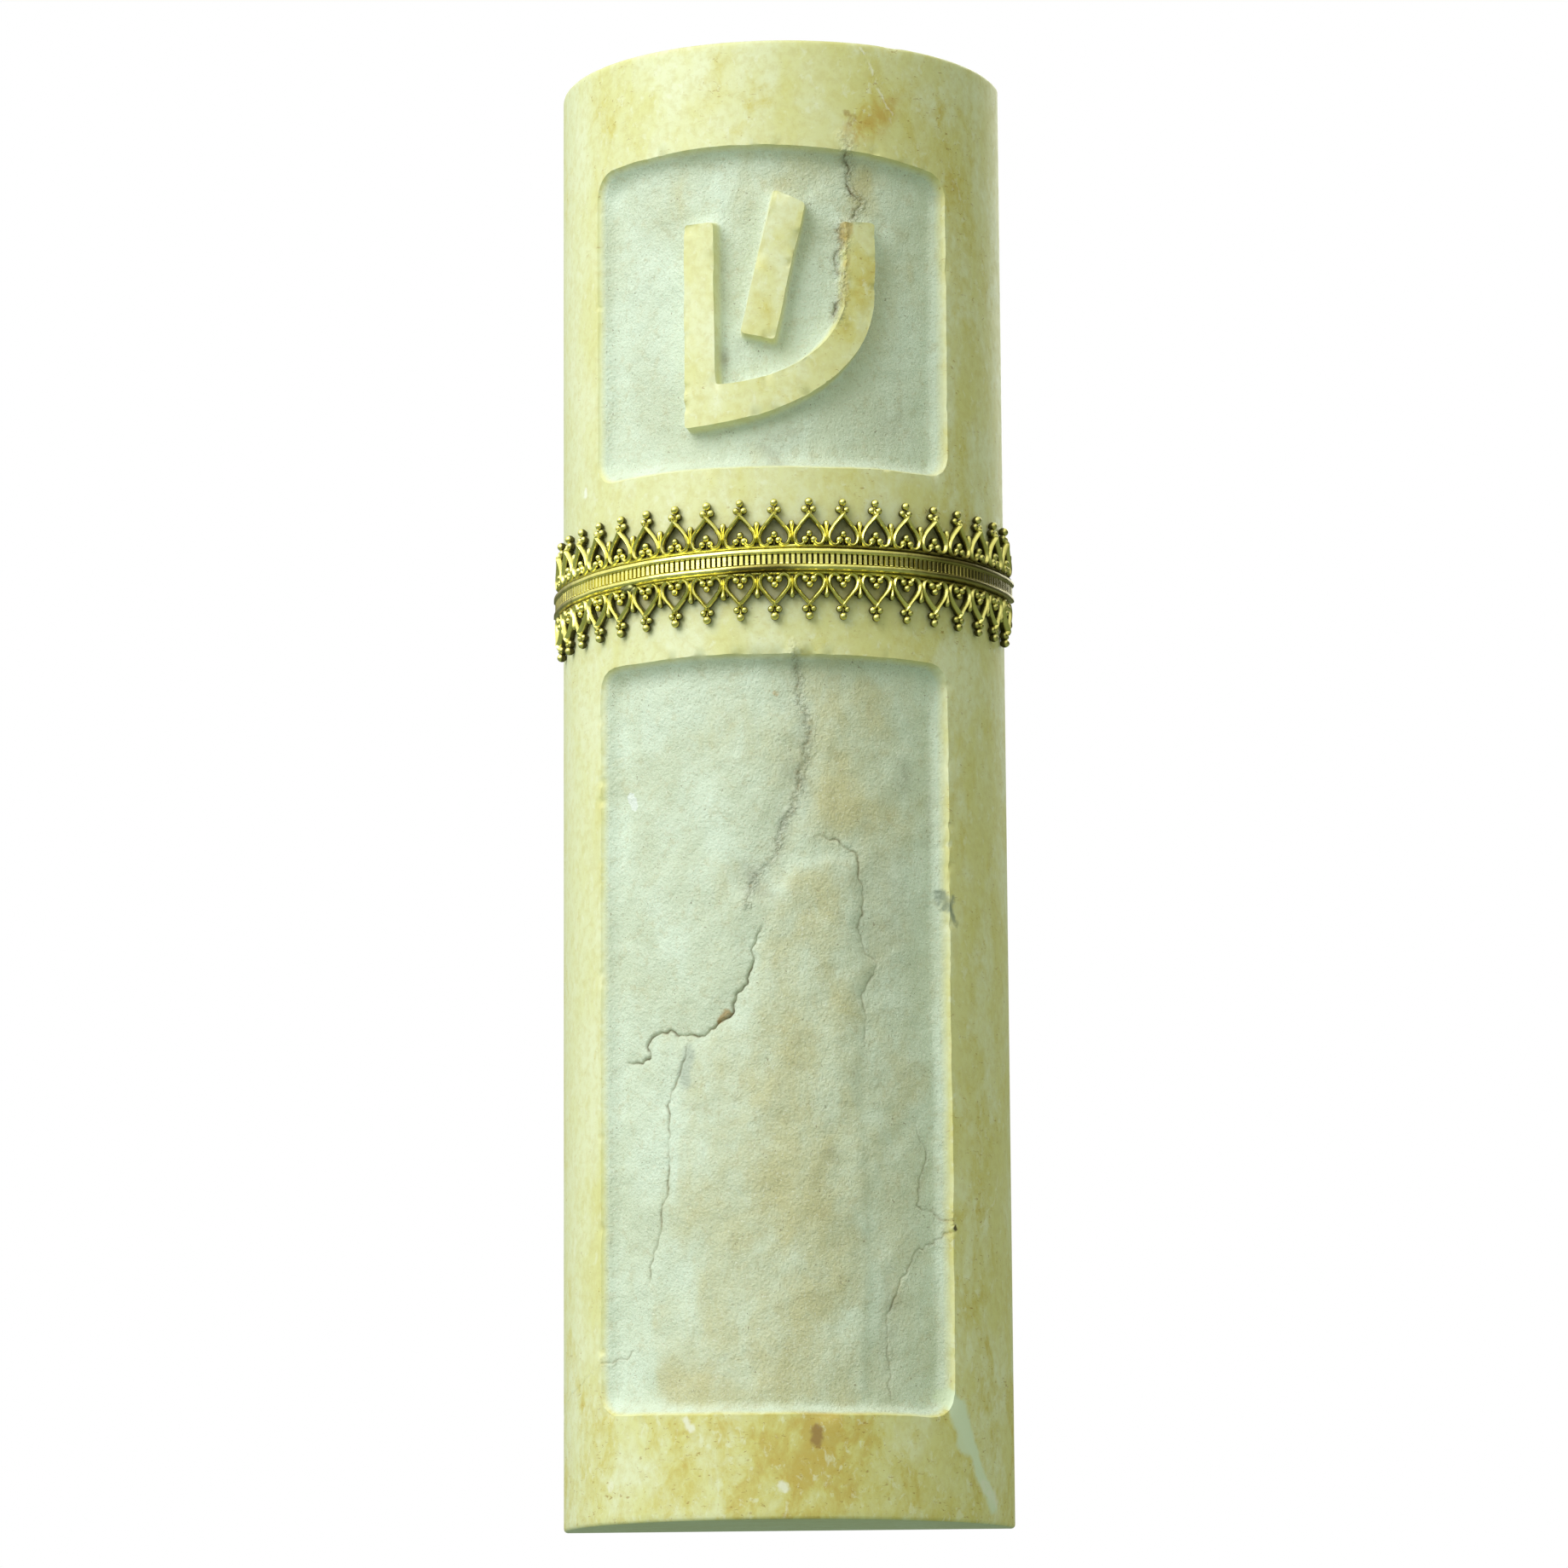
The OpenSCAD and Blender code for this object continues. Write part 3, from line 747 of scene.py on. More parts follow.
def gusset(shell, rng):
    """The filled corner between two hearts: a low plate with a drop and two ridges on it."""
    right = [(PITCH / 2 - 0.5, 1.1), (0.5, 1.3), (0.3, 1.7), (0.26, 2.1), (0.42, 2.6),
             (0.52, 2.95), (0.3, 3.12)]
    outline = np.array([(-right[0][0], 1.1)] + right + [(-u, w) for u, w in right[:0:-1]])
    count = len(outline)
    points = np.vstack([np.column_stack([outline, np.full(count, h)]) for h in (0.0, 0.4)])
    shell.add(points, ring_faces(2, count))
    drop = [(0, 1.5, 0.4), (0, 2.1, 0.42), (0, 2.6, 0.44), (0, 2.95, 0.44), (0, 3.2, 0.42),
            (0, 3.36, 0.4), (0, 3.44, 0.36)]
    wide = np.array((0.1, 0.12, 0.15, 0.22, 0.27, 0.21, 0.06)) * rng.uniform(0.9, 1.1)
    shell.add(*wire(drop, wide, (0.14, 0.2, 0.28, 0.34, 0.36, 0.28, 0.1)))
    for side in (-1, 1):
        ridge = [(side * 0.14, 1.8, 0.34), (side * 0.26, 2.3, 0.38), (side * 0.44, 2.84, 0.36)]
        shell.add(*wire(ridge, (0.06, 0.1, 0.12), (0.12, 0.22, 0.24)))


def strip(shell, u_low, u_high):
    """The strip: two rails with a ribbed channel between them."""
    rib = 0.5
    steps, heights = (0.1, 0.14, 0.2, 0.74, 0.8, 0.84), (0, 0.8, 1, 1, 0.8, 0)
    ribs = np.arange(math.ceil(u_low / rib), math.floor(u_high / rib))
    u = np.concatenate([[u_low], (ribs[:, None] + steps).ravel() * rib, [u_high]])
    pulse = np.concatenate([[0], np.tile(heights, len(ribs)), [0]])
    line = np.column_stack([u, u * 0, u * 0])
    u[1:-1] += 0.012 * noise(line, 0.7, 71)[1:-1]
    fade = np.maximum(smooth_step(14, 20.5, u), smooth_step(-22, -26, u))
    rise = 0.38 * pulse * (1 + 0.06 * noise(line, 0.9, 73)) * (1 - 0.9 * fade) + 0.3 * fade
    profile = np.array(STRIP_PROFILE + CHANNEL + [(-w, h) for w, h in STRIP_PROFILE[::-1]])
    width, start = len(profile), len(STRIP_PROFILE)
    lift = np.zeros(width)
    lift[start - 1:start + 6] = 1
    points = [np.column_stack([np.full(width, u[k]), profile[:, 0], profile[:, 1] + lift * rise[k]])
              for k in range(len(u))]
    shell.add(np.vstack(points), ring_faces(len(u), width))


def on_band(points):
    """From (u, w, h) on the strip to a place in space."""
    u, w, h = points.T
    angle = u / (RADIUS + STRIP_MID_H)
    r = RADIUS + h
    z = BAND_Z + w + BAND_SKEW * np.sin(angle)
    return np.stack([r * np.sin(angle), AXIS_Y - r * np.cos(angle), z], 1)


def build_band(material):
    shell = Shell()
    rng = np.random.default_rng(19)
    edge = (EDGE_ANGLE - 0.004) * (RADIUS + STRIP_MID_H)
    shift = MOTIF_SHIFT * (RADIUS + STRIP_MID_H)
    for row in (1, -1):
        for k in range(-10, 10):
            part = Shell()
            if k >= -9:
                heart(part, rng)
            joint = Shell()
            gusset(joint, rng)
            for piece, u in ((part, shift + k * PITCH), (joint, shift + (k + 0.5) * PITCH)):
                if not piece.count or abs(u) > edge - 0.3:
                    continue
                points = np.vstack(piece.points)
                points[:, 0] += u
                points[:, 1] += 0.03 * np.maximum(points[:, 1] - 1.2, 0) * (row > 0)
                points[:, 1] *= row
                points[:, 0] = np.clip(points[:, 0], -edge, edge)
                shell.add(points, piece.faces)
    strip(shell, -edge, edge)
    stamped = shell.count
    for u, w, h, size in ((-13.7, -1.2, 0.55, 0.5), (-13.1, -1.45, 0.5, 0.42),
                          (-14.2, -1.1, 0.55, 0.36)):
        shell.add(*ball((u, w, h), size, 12, 8, (1.4, 1, 0.6)))
    points = np.vstack(shell.points)
    points = points + np.column_stack([0.04 * noise(points, 2.3, 81),
                                       0.035 * noise(points, 2.6, 83),
                                       0.03 * noise(points, 2, 85)])
    band = make_mesh("gallery_band", on_band(points), shell.faces, material, 60)
    # How low each point sits: drives the tarnish and painted shade low down on the brass
    add_values(band, "low", np.clip(1 - points[:, 2] / 0.8, 0, 1))
    add_values(band, "solder", np.arange(len(points)) >= stamped)
    add_places(band, "place", points)
    return band


# ---- Smaller pieces ----

def turned(profile, around=48, closed=True):
    """A shape turned round the z axis from (radius, z) pairs."""
    r, z = np.array(profile, float).T[..., None]
    a = np.linspace(0, 2 * math.pi, around, endpoint=False)
    rows = np.stack([r * np.cos(a), r * np.sin(a), z + 0 * a], -1)
    return rows.reshape(-1, 3), ring_faces(len(profile), around, closed)


def from_back(points, y_back, z):
    """Turns a shape made along z so that it runs from the back plane towards the front."""
    return np.column_stack([points[:, 0], y_back - points[:, 2], z + points[:, 1]])


def build_cover(material):
    low, high = box_mm("back_cover")
    screw_low, screw_high = box_mm("upper_screw")
    z = (screw_low[2] + screw_high[2]) / 2
    head_r = screw_high[0]
    outline = rounded_rectangle(low[0], high[0], low[2], high[2], 1.7)
    cover = prism("cover_plate", resampled(outline, 0.7), low[1], high[1], material)
    soft = cover.modifiers.new("soft", "BEVEL")
    soft.width = 0.22 * MM
    soft.segments = 3
    soft.limit_method = "ANGLE"
    soft.angle_limit = math.radians(50)
    applied(cover)
    tools = []
    for side in (-1, 1):
        profile = [(0.001, -1), (head_r + 0.16, -1), (head_r + 0.12, 0.02), (1.15, 1.2),
                   (1.15, 3), (0.001, 3)]
        points, faces = turned(profile, 40, closed=False)
        points = from_back(points, high[1], side * z)
        tools.append(make_mesh("countersink", points, faces, material))
    cut_away(cover, tools)
    cover.data.set_sharp_from_angle(angle=math.radians(35))
    return cover


def build_screw(node, name, material):
    """A countersunk cross-head screw with a real helical thread."""
    low, high = box_mm(node)
    z, length, head = (low[2] + high[2]) / 2, high[1] - low[1], high[0]
    pitch, core, crest, neck, head_end, thread_start = 0.8, 0.78, 1.0, 0.95, 1.2, 1.7
    along = np.concatenate([[0, 0.06, 0.12, 0.3, 0.6, 0.9, 1.15, 1.3, 1.5],
                            np.arange(1.6, length - 0.02, 0.08), [length]])
    around = 40
    a = np.linspace(0, 2 * math.pi, around, endpoint=False)
    t, turn = along[:, None], a[None, :] / (2 * math.pi)
    wave = np.abs(((t / pitch - turn) % 1) * 2 - 1)
    ridge = np.clip(1.5 * wave - 0.2, 0, 1) * smooth_step(thread_start, thread_start + 0.5, t)
    thread = core + (crest - core) * ridge
    under_head = head - (head - neck) * np.clip((t - 0.12) / 1.08, 0, 1)
    shank = np.where(t < head_end, under_head, neck + 0 * turn)
    r = np.where(t < thread_start, shank, thread)
    r = r * (1 - 0.9 * smooth_step(length - 1.6, length + 0.1, t)) + 0 * turn
    r = np.where(t == 0, head - 0.06, r)
    rows = np.stack([r * np.cos(a), r * np.sin(a), np.broadcast_to(t, r.shape)], -1)
    points = rows.reshape(-1, 3)
    faces = ring_faces(len(along), around)
    screw = make_mesh(name, from_back(points, high[1], z), faces, material, 35)
    tools = []
    for across in (0, 1):
        tool = []
        for depth, half_l, half_w in ((-0.3, 1.28, 0.24), (0, 1.2, 0.22), (0.72, 0.5, 0.13)):
            for x, y in ((-1, -1), (1, -1), (1, 1), (-1, 1)):
                p = (x * half_l, y * half_w) if across else (x * half_w, y * half_l)
                tool.append((*p, depth))
        tool = from_back(np.array(tool), high[1], z)
        tools.append(make_mesh("cross", tool, ring_faces(3, 4), material))
    cut_away(screw, tools)
    screw.data.set_sharp_from_angle(angle=math.radians(35))
    return screw


def build_plug(node, name, material):
    low, high = box_mm(node)
    z, length, r = (low[2] + high[2]) / 2, high[1] - low[1], high[0]
    bore = 1.1
    corners = [(r, 0), (r, length), (0.02, length), (0.02, length - 0.6), (bore, length - 0.7),
               (bore, 0)]
    points, faces = turned(softened(corners, [0.2, 0.25, 0, 0, 0, 0.16]), 40)
    return make_mesh(name, from_back(points, high[1], z), faces, material, 35)


def build_tube(material):
    low, high = box_mm("scroll_tube")
    r, wall = (high[0] - low[0]) / 2, 0.6
    corners = [(r, low[2]), (r, high[2]), (r - wall, high[2]), (r - wall, low[2])]
    points, faces = turned(softened(corners, 0.12, 3), 72)
    points[:, 1] += (low[1] + high[1]) / 2
    return make_mesh("clear_tube", points, faces, material, 60)


def build_cap(node, name, material):
    """A push-in cap with a rim, a shallow dish in its end and a tapered collar."""
    low, high = box_mm(node)
    r, rim, collar = (high[0] - low[0]) / 2, 1.0, 4.7
    inner = high[2] - low[2] - rim
    corners = [(0.02, 0.35), (3.5, 0.35), (3.9, 0), (r, 0), (r, rim), (collar - 0.02, rim),
               (collar - 0.12, rim + inner), (collar - 0.52, rim + inner), (collar - 0.5, rim),
               (0.02, rim)]
    points, faces = turned(softened(corners, [0, 0.2, 0.12, 0.22, 0.12, 0, 0.14, 0.1, 0, 0]), 64)
    points[:, 2] = high[2] - points[:, 2] if high[2] > 0 else low[2] + points[:, 2]
    points[:, 1] += (low[1] + high[1]) / 2
    return make_mesh(name, points, faces, material, 35)


def build_parchment(material):
    """The rolled sheet, a little uneven along its height and at its edges."""
    low, high = box_mm("parchment_scroll")
    tube_low, tube_high = box_mm("scroll_tube")
    centre_y = (tube_low[1] + tube_high[1]) / 2
    per_turn, turns, step, thick, outer = 60, 5, 0.33, 0.25, 4.07
    turn = np.linspace(0, turns, turns * per_turn + 1)
    levels = np.linspace(0, 1, 34)
    flat = np.column_stack([turn, turn * 0, turn * 0])
    top_edge = high[2] - 0.12 + 0.12 * noise(flat, 0.8, 91)
    low_edge = low[2] + 0.12 + 0.12 * noise(flat, 0.8, 93)
    rows = []
    for inset in (0.0, thick):
        for level in levels:
            z = low_edge + (top_edge - low_edge) * level
            a = 2 * math.pi * turn
            sway = 0.025 * noise(np.column_stack([np.cos(a) * 2, np.sin(a) * 2, z / 12]), 1.5, 95)
            r = outer - step * turn - inset + sway
            rows.append(np.column_stack([r * np.cos(a), centre_y + r * np.sin(a), z]))
    count, tall = len(turn), len(levels)
    points = np.vstack(rows)

    def at(side, level, k):
        return (side * tall + level) * count + k

    faces = []
    for level in range(tall - 1):
        for k in range(count - 1):
            for side in (0, 1):
                faces.append((at(side, level, k), at(side, level, k + 1),
                              at(side, level + 1, k + 1), at(side, level + 1, k)))
        for k in (0, count - 1):
            faces.append((at(0, level, k), at(0, level + 1, k),
                          at(1, level + 1, k), at(1, level, k)))
    for k in range(count - 1):
        for level in (0, tall - 1):
            faces.append((at(0, level, k), at(1, level, k),
                          at(1, level, k + 1), at(0, level, k + 1)))
    roll = make_mesh("parchment_roll", points, faces, material, 50)
    add_places(roll, "place", flat_points(np.tile(turn * 20, 2 * tall), points[:, 2]))
    return roll


def build_pad(node, name, material, seed):
    """A strip of foam tape with soft cut edges and a slightly uneven thickness."""
    low, high = box_mm(node)
    size = high - low
    rim = np.array([0, 0.05, 0.14, 0.3])
    across = np.concatenate([rim, np.linspace(0.7, size[0] - 0.7, 14), size[0] - rim[::-1]])
    up = np.concatenate([rim, np.linspace(0.9, size[2] - 0.9, 150), size[2] - rim[::-1]])
    x, z = np.meshgrid(across, up)
    edge = np.minimum(np.minimum(x, size[0] - x), np.minimum(z, size[2] - z))
    edge_r = 0.14
    drop = edge_r * (1 - np.sqrt(1 - (1 - np.clip(edge / edge_r, 0, 1)) ** 2))
    flat = np.stack([x, z, x * 0], -1).reshape(-1, 3)
    uneven = 0.015 * (noise(flat, 6, seed) + 1) + 0.0075 * (noise(flat, 1.2, seed + 1) + 1)
    side_in = 0.05 * (noise(flat, 3, seed + 2) + 1) * np.exp(-edge.ravel() / 0.4)
    x = x.ravel() + side_in * np.sign(size[0] / 2 - x.ravel())
    count = len(across) * len(up)
    points = np.vstack([np.column_stack([x + low[0], y, z.ravel() + low[2]])
                        for y in (low[1] + drop.ravel() + 0.002 * uneven,
                                  high[1] - drop.ravel() - uneven)])
    wide, tall = len(across), len(up)
    faces = []
    for j in range(tall - 1):
        for i in range(wide - 1):
            quad = (j * wide + i, j * wide + i + 1, (j + 1) * wide + i + 1, (j + 1) * wide + i)
            faces += [quad, tuple(k + count for k in quad[::-1])]
    border = (list(range(wide)) + [j * wide + wide - 1 for j in range(1, tall)]
              + [(tall - 1) * wide + i for i in range(wide - 2, -1, -1)]
              + [j * wide for j in range(tall - 2, 0, -1)])
    for a, b in zip(border, border[1:] + border[:1]):
        faces.append((a, a + count, b + count, b))
    return make_mesh(name, points, faces, material, 60)


# ---- Materials ----

def rgb(r, g, b):
    """A display colour from 0 to 255 as Blender's linear one."""
    return tuple(c / 255 / 12.92 if c < 11 else ((c / 255 + 0.055) / 1.055) ** 2.4
                 for c in (r, g, b)) + (1.0,)


class Nodes:
    """Short ways to write a node tree."""

    def __init__(self, tree):
        self.tree = tree

    def node(self, kind, **settings):
        made = self.tree.nodes.new(kind)
        for key, value in settings.items():
            setattr(made, key, value)
        return made

    def put(self, socket, value):
        if isinstance(value, bpy.types.NodeSocket):
            self.tree.links.new(value, socket)
        else:
            socket.default_value = value

    def maths(self, kind, a, b=0.0, clamp=False):
        made = self.node("ShaderNodeMath", operation=kind, use_clamp=clamp)
        self.put(made.inputs[0], a)
        self.put(made.inputs[1], b)
        return made.outputs[0]

    def times(self, a, b, clamp=False):
        return self.maths("MULTIPLY", a, b, clamp)

    def plus(self, a, b):
        return self.maths("ADD", a, b)

    def less(self, a, b):
        return self.maths("SUBTRACT", a, b)

    def vector(self, kind, a, b=None, scale=None):
        made = self.node("ShaderNodeVectorMath", operation=kind)
        self.put(made.inputs[0], a)
        if b is not None:
            self.put(made.inputs[1], b)
        if scale is not None:
            self.put(made.inputs["Scale"], scale)
        return made.outputs["Value" if kind in ("DOT_PRODUCT", "LENGTH", "DISTANCE") else "Vector"]

    def fit(self, value, low, high, to_low=0.0, to_high=1.0):
        """Turns low to high into to_low to to_high, smoothly and without going past them."""
        made = self.node("ShaderNodeMapRange", interpolation_type="SMOOTHSTEP")
        for socket, number in zip(made.inputs, (value, low, high, to_low, to_high)):
            self.put(socket, number)
        return made.outputs[0]

    def mix(self, amount, a, b):
        made = self.node("ShaderNodeMix", data_type="RGBA")
        self.put(made.inputs[0], amount)
        self.put(made.inputs[6], a)
        self.put(made.inputs[7], b)
        return made.outputs[2]

    def axis(self, at, which):
        made = self.node("ShaderNodeSeparateXYZ")
        self.put(made.inputs[0], at)
        return made.outputs[which]

    def blend(self, amount, a, b):
        """One shader where amount is 0, and another where it is 1."""
        made = self.node("ShaderNodeMixShader")
        for socket, value in zip(made.inputs, (amount, a, b)):
            self.put(socket, value)
        return made.outputs[0]

    def light(self, colour, strength):
        made = self.node("ShaderNodeBackground")
        self.put(made.inputs[0], colour)
        self.put(made.inputs[1], strength)
        return made.outputs[0]


class Paint(Nodes):
    """Builds a material from nodes. Sizes and heights are in millimetres."""

    def __init__(self, name):
        self.material = bpy.data.materials.new(name)
        self.material.use_nodes = True
        super().__init__(self.material.node_tree)
        self.shader = self.tree.nodes["Principled BSDF"]
        metres = self.node("ShaderNodeTexCoord").outputs["Object"]
        self.mm = self.vector("SCALE", metres, scale=1 / MM)

    def set(self, **values):
        for key, value in values.items():
            self.put(self.shader.inputs[key.replace("_", " ")], value)

    def noise(self, size, detail=2.0, rough=0.5, twist=0.0, stretch=(1, 1, 1), shift=0.0, at=None):
        """Noise from 0 to 1, longer along an axis where stretch is above 1."""
        scales = tuple(1 / (size * k) for k in stretch)
        place = self.vector("MULTIPLY", self.mm if at is None else at, scales)
        made = self.node("ShaderNodeTexNoise")
        self.put(made.inputs["Vector"], self.vector("ADD", place, (shift, shift * 0.7, -shift)))
        made.inputs["Scale"].default_value = 1.0
        made.inputs["Detail"].default_value = detail
        made.inputs["Roughness"].default_value = rough
        made.inputs["Distortion"].default_value = twist
        return made.outputs[0]

    def drift(self, size, amount):
        """A small sideways push that changes over the surface."""
        made = self.node("ShaderNodeTexNoise")
        self.put(made.inputs["Vector"], self.vector("SCALE", self.mm, scale=1 / size))
        made.inputs["Scale"].default_value = 1.0
        centred = self.vector("SUBTRACT", made.outputs["Color"], (0.5, 0.5, 0.5))
        return self.vector("SCALE", centred, scale=amount)

    def cells(self, size, shift):
        place = self.vector("MULTIPLY", self.mm, (1 / size, 1 / size, 1 / size))
        made = self.node("ShaderNodeTexVoronoi", feature="F1")
        self.put(made.inputs["Vector"], self.vector("ADD", place, (shift, -shift, shift * 0.6)))
        made.inputs["Scale"].default_value = 1.0
        return made.outputs["Distance"]

    def between(self, amount, a, b):
        """The number a where amount is 0, and b where it is 1."""
        made = self.node("ShaderNodeMix", data_type="FLOAT")
        self.put(made.inputs[0], amount)
        self.put(made.inputs[2], a)
        self.put(made.inputs[3], b)
        return made.outputs[0]

    def coat(self, colour, value, low, high, paint, strength=1.0):
        """A colour with paint over it where value goes from low to high."""
        return self.mix(self.fit(value, low, high, 0, strength), colour, rgb(*paint))

    def attribute(self, name, kind="Fac"):
        return self.node("ShaderNodeAttribute", attribute_name=name).outputs[kind]

    def pair(self, x, y):
        """A flat vector of two numbers."""
        made = self.node("ShaderNodeCombineXYZ")
        self.put(made.inputs[0], x)
        self.put(made.inputs[1], y)
        return made.outputs[0]

    def bump(self, height):
        """A normal for a height in millimetres."""
        made = self.node("ShaderNodeBump")
        made.inputs["Strength"].default_value = 1.0
        made.inputs["Distance"].default_value = MM
        self.put(made.inputs["Height"], height)
        return made.outputs[0]

    def line(self, at, points, half_width, soft):
        """1 along a path through (s, v) points, fading to 0 over soft."""
        best = None
        for (x0, y0), (x1, y1) in zip(points, points[1:]):
            run = (x1 - x0, y1 - y0, 0.0)
            length = max(run[0] ** 2 + run[1] ** 2, 1e-6)
            rel = self.vector("SUBTRACT", at, (x0, y0, 0.0))
            t = self.maths("DIVIDE", self.vector("DOT_PRODUCT", rel, run), length, clamp=True)
            off = self.vector("DISTANCE", rel, self.vector("SCALE", run, scale=t))
            best = off if best is None else self.maths("MINIMUM", best, off)
        return self.fit(best, half_width, half_width + soft, 1.0, 0.0)


# Single marks on the stone: a path through (s, v), half its width, how far it fades, its
# colour and how strong it is. Marks weaker than WEAK_MARK are broken up by noise.
WEAK_MARK = 0.61
MARKS = [
    ([(-15.25, -1.6), (-14.8, -2.3)], 0.4, 0.2, (246, 252, 252), 0.95),
    ([(16.8, -54.6), (18.4, -57), (20.8, -61.3), (23, -63.7)], 0.45, 0.6, (226, 238, 212), 0.95),
    ([(17.9, -56), (18.8, -58.6)], 0.8, 0.7, (226, 238, 212), 0.9),
    ([(21.5, -62.3), (23.4, -63.3)], 0.4, 0.5, (240, 240, 225), 0.6),
    ([(16.8, -10.3), (17.3, -11.5), (18.2, -13.2)], 0.02, 0.42, (124, 137, 124), 0.72),
    ([(17.9, -11.0), (17.4, -12.1)], 0.02, 0.4, (132, 146, 133), 0.66),
    ([(3.9, -57.8), (3.7, -58.9)], 0.3, 0.4, (158, 124, 76), 0.85),
    ([(0.6, -62.7), (0.9, -62.9)], 0.2, 0.4, (246, 246, 232), 0.8),
    ([(-7.9, -56.9), (-7.2, -57.6)], 0.15, 0.35, (246, 246, 232), 0.8),
    ([(-16.6, -61.9), (-16.3, -62.2)], 0.2, 0.4, (246, 246, 232), 0.6),
    ([(-20.6, 26.8), (-20.5, 26.5)], 0.2, 0.3, (250, 250, 240), 0.85),
    ([(24.7, -34.9), (23.7, -37.2), (21.3, -39.7)], 0.03, 0.16, (246, 244, 224), 0.6),
    ([(8.7, 65.2), (10, 62.4), (11.7, 59.1)], 0.04, 0.14, (248, 246, 226), 0.7),
    ([(8, 57), (9.8, 57.8), (11.6, 60)], 0.1, 1.7, (202, 166, 82), 0.6),
    ([(7.3, 58.9), (8, 58.6), (7.7, 57.8)], 0.1, 0.45, (150, 108, 50), 0.6),
    ([(17.6, -40.1), (17.65, -40.15)], 0.12, 0.16, (60, 48, 32), 0.9),
    ([(-8.4, -24.8), (-8.7, -27.2)], 0.3, 0.8, (196, 206, 196), 0.75),
    ([(-5.2, -22.4), (-4.2, -21.4)], 0.12, 0.3, (176, 134, 62), 0.7),
    ([(7.35, 48.7), (7.5, 47.9)], 0.2, 0.4, (190, 158, 78), 0.62),
    ([(7.3, 48.4), (7.35, 43.5), (7.1, 41.5)], 0.03, 0.35, (192, 162, 86), 0.5),
    ([(0.4, 6.6), (0.6, 6.5)], 0.12, 0.25, (196, 150, 70), 0.5),
]


def stone_paint():
    p = Paint("honed_limestone")
    names = ("blasted", "crack", "ochre", "tan", "front", "grey", "crumble")
    blasted, crack, ochre, tan, front, grey, crumble = (p.attribute(n) for n in names)
    place = p.attribute("place", "Vector")
    at = p.vector("ADD", p.vector("ADD", place, p.drift(1.6, 1.1)), p.drift(0.35, 0.35))
    mottle = p.noise(0.8, 5, 0.65, 0.3, shift=21)

    # Honed stone: cream with soft vertical ochre staining and fine mottling
    streak = p.noise(4.5, 4, 0.55, 0.5, (1, 1, 1.8), 3.1)
    cloud = p.noise(5, 5, 0.6, 0.3, (1, 1, 1.5), 8.3)
    honed = p.coat(rgb(231, 232, 186), streak, 0.36, 0.66, (227, 225, 162))
    # The right side, in shade, is painted yellower and the lit left side paler: partly the stone's
    # tone, partly painted shade and light
    honed = p.coat(honed, p.axis(place, 0), -9, 16, (224, 218, 142), 0.5)
    honed = p.coat(honed, p.axis(place, 0), -17, -23, (235, 242, 213), 0.4)
    honed = p.coat(honed, cloud, 0.42, 0.66, (237, 240, 208), 0.8)
    soft = p.less(p.noise(3.0, 6, 0.62, 0.7, (1, 1, 1.5), 12), 0.5)
    fine = p.less(p.noise(0.9, 5, 0.65, 0.5, (1, 1, 1.4), 17), 0.5)
    stain = p.plus(ochre, p.plus(p.times(soft, 2.5), p.times(fine, 1.2)))
    honed = p.coat(honed, stain, 0.15, 1.0, (216, 205, 117), 0.85)
    honed = p.coat(honed, stain, 0.7, 1.35, (201, 171, 79), 0.75)
    honed = p.coat(honed, mottle, 0.4, 0.68, (208, 196, 124), 0.35)
    pale = p.noise(0.75, 4, 0.65, 0.4, (1, 1, 1.3), 33)
    honed = p.coat(honed, pale, 0.55, 0.7, (241, 243, 218), 0.5)
    dash = p.noise(0.34, 3, 0.6, 0.8, (1.7, 1.7, 0.7), 51)
    region = p.plus(stain, p.noise(2.2, 3, 0.6, shift=53))
    specks = p.times(p.fit(dash, 0.62, 0.71), p.fit(region, 0.45, 1.1, 0.03, 0.65))
    honed = p.mix(specks, honed, rgb(158, 118, 48))

    # Sandblasted panel floors: paler, cooler, with grains and tan patches
    cloud = p.noise(6, 5, 0.6, 0.4, (1, 1, 1.4), 61)
    floor = p.coat(rgb(234, 246, 233), cloud, 0.34, 0.66, (221, 230, 210))
    warm = p.plus(tan, p.times(p.less(p.noise(3.4, 5, 0.62, 0.4, (1, 1, 1.7), 64), 0.5), 1.4))
    floor = p.coat(floor, warm, 0.1, 0.95, (215, 209, 165), 0.9)
    floor = p.coat(floor, warm, 0.75, 1.5, (207, 197, 148), 0.5)
    floor = p.coat(floor, p.noise(1.1, 4, 0.65, shift=65), 0.5, 0.72, (200, 192, 154), 0.35)
    floor = p.coat(floor, p.noise(0.24, 3, 0.7, shift=67), 0.54, 0.72, (182, 172, 136), 0.42)
    floor = p.coat(floor, p.noise(0.2, 3, 0.7, shift=66), 0.54, 0.72, (250, 252, 242), 0.65)
    dark = p.times(p.fit(p.noise(0.28, 2, 0.6, shift=58), 0.66, 0.72),
                   p.fit(p.noise(2.5, 2, 0.5, shift=59), 0.45, 0.6))
    floor = p.mix(p.times(dark, 0.6), floor, rgb(120, 98, 66))
    # Grey patches, mostly painted shade by the long valley, the cracks and the letter
    shadow = p.times(grey, p.fit(p.noise(0.9, 4, 0.6, shift=71), 0.2, 0.6))
    floor = p.mix(shadow, floor, rgb(156, 154, 134))
    colour = p.mix(blasted, honed, floor)
    chipped = p.noise(0.42, 3, 0.65, 0.5, shift=95)
    light_chips = p.times(crumble, p.fit(chipped, 0.5, 0.62, 0, 0.6))
    colour = p.mix(light_chips, colour, rgb(240, 244, 228))
    dark_chips = p.times(crumble, p.fit(chipped, 0.46, 0.36, 0, 0.45))
    colour = p.mix(dark_chips, colour, rgb(172, 152, 104))

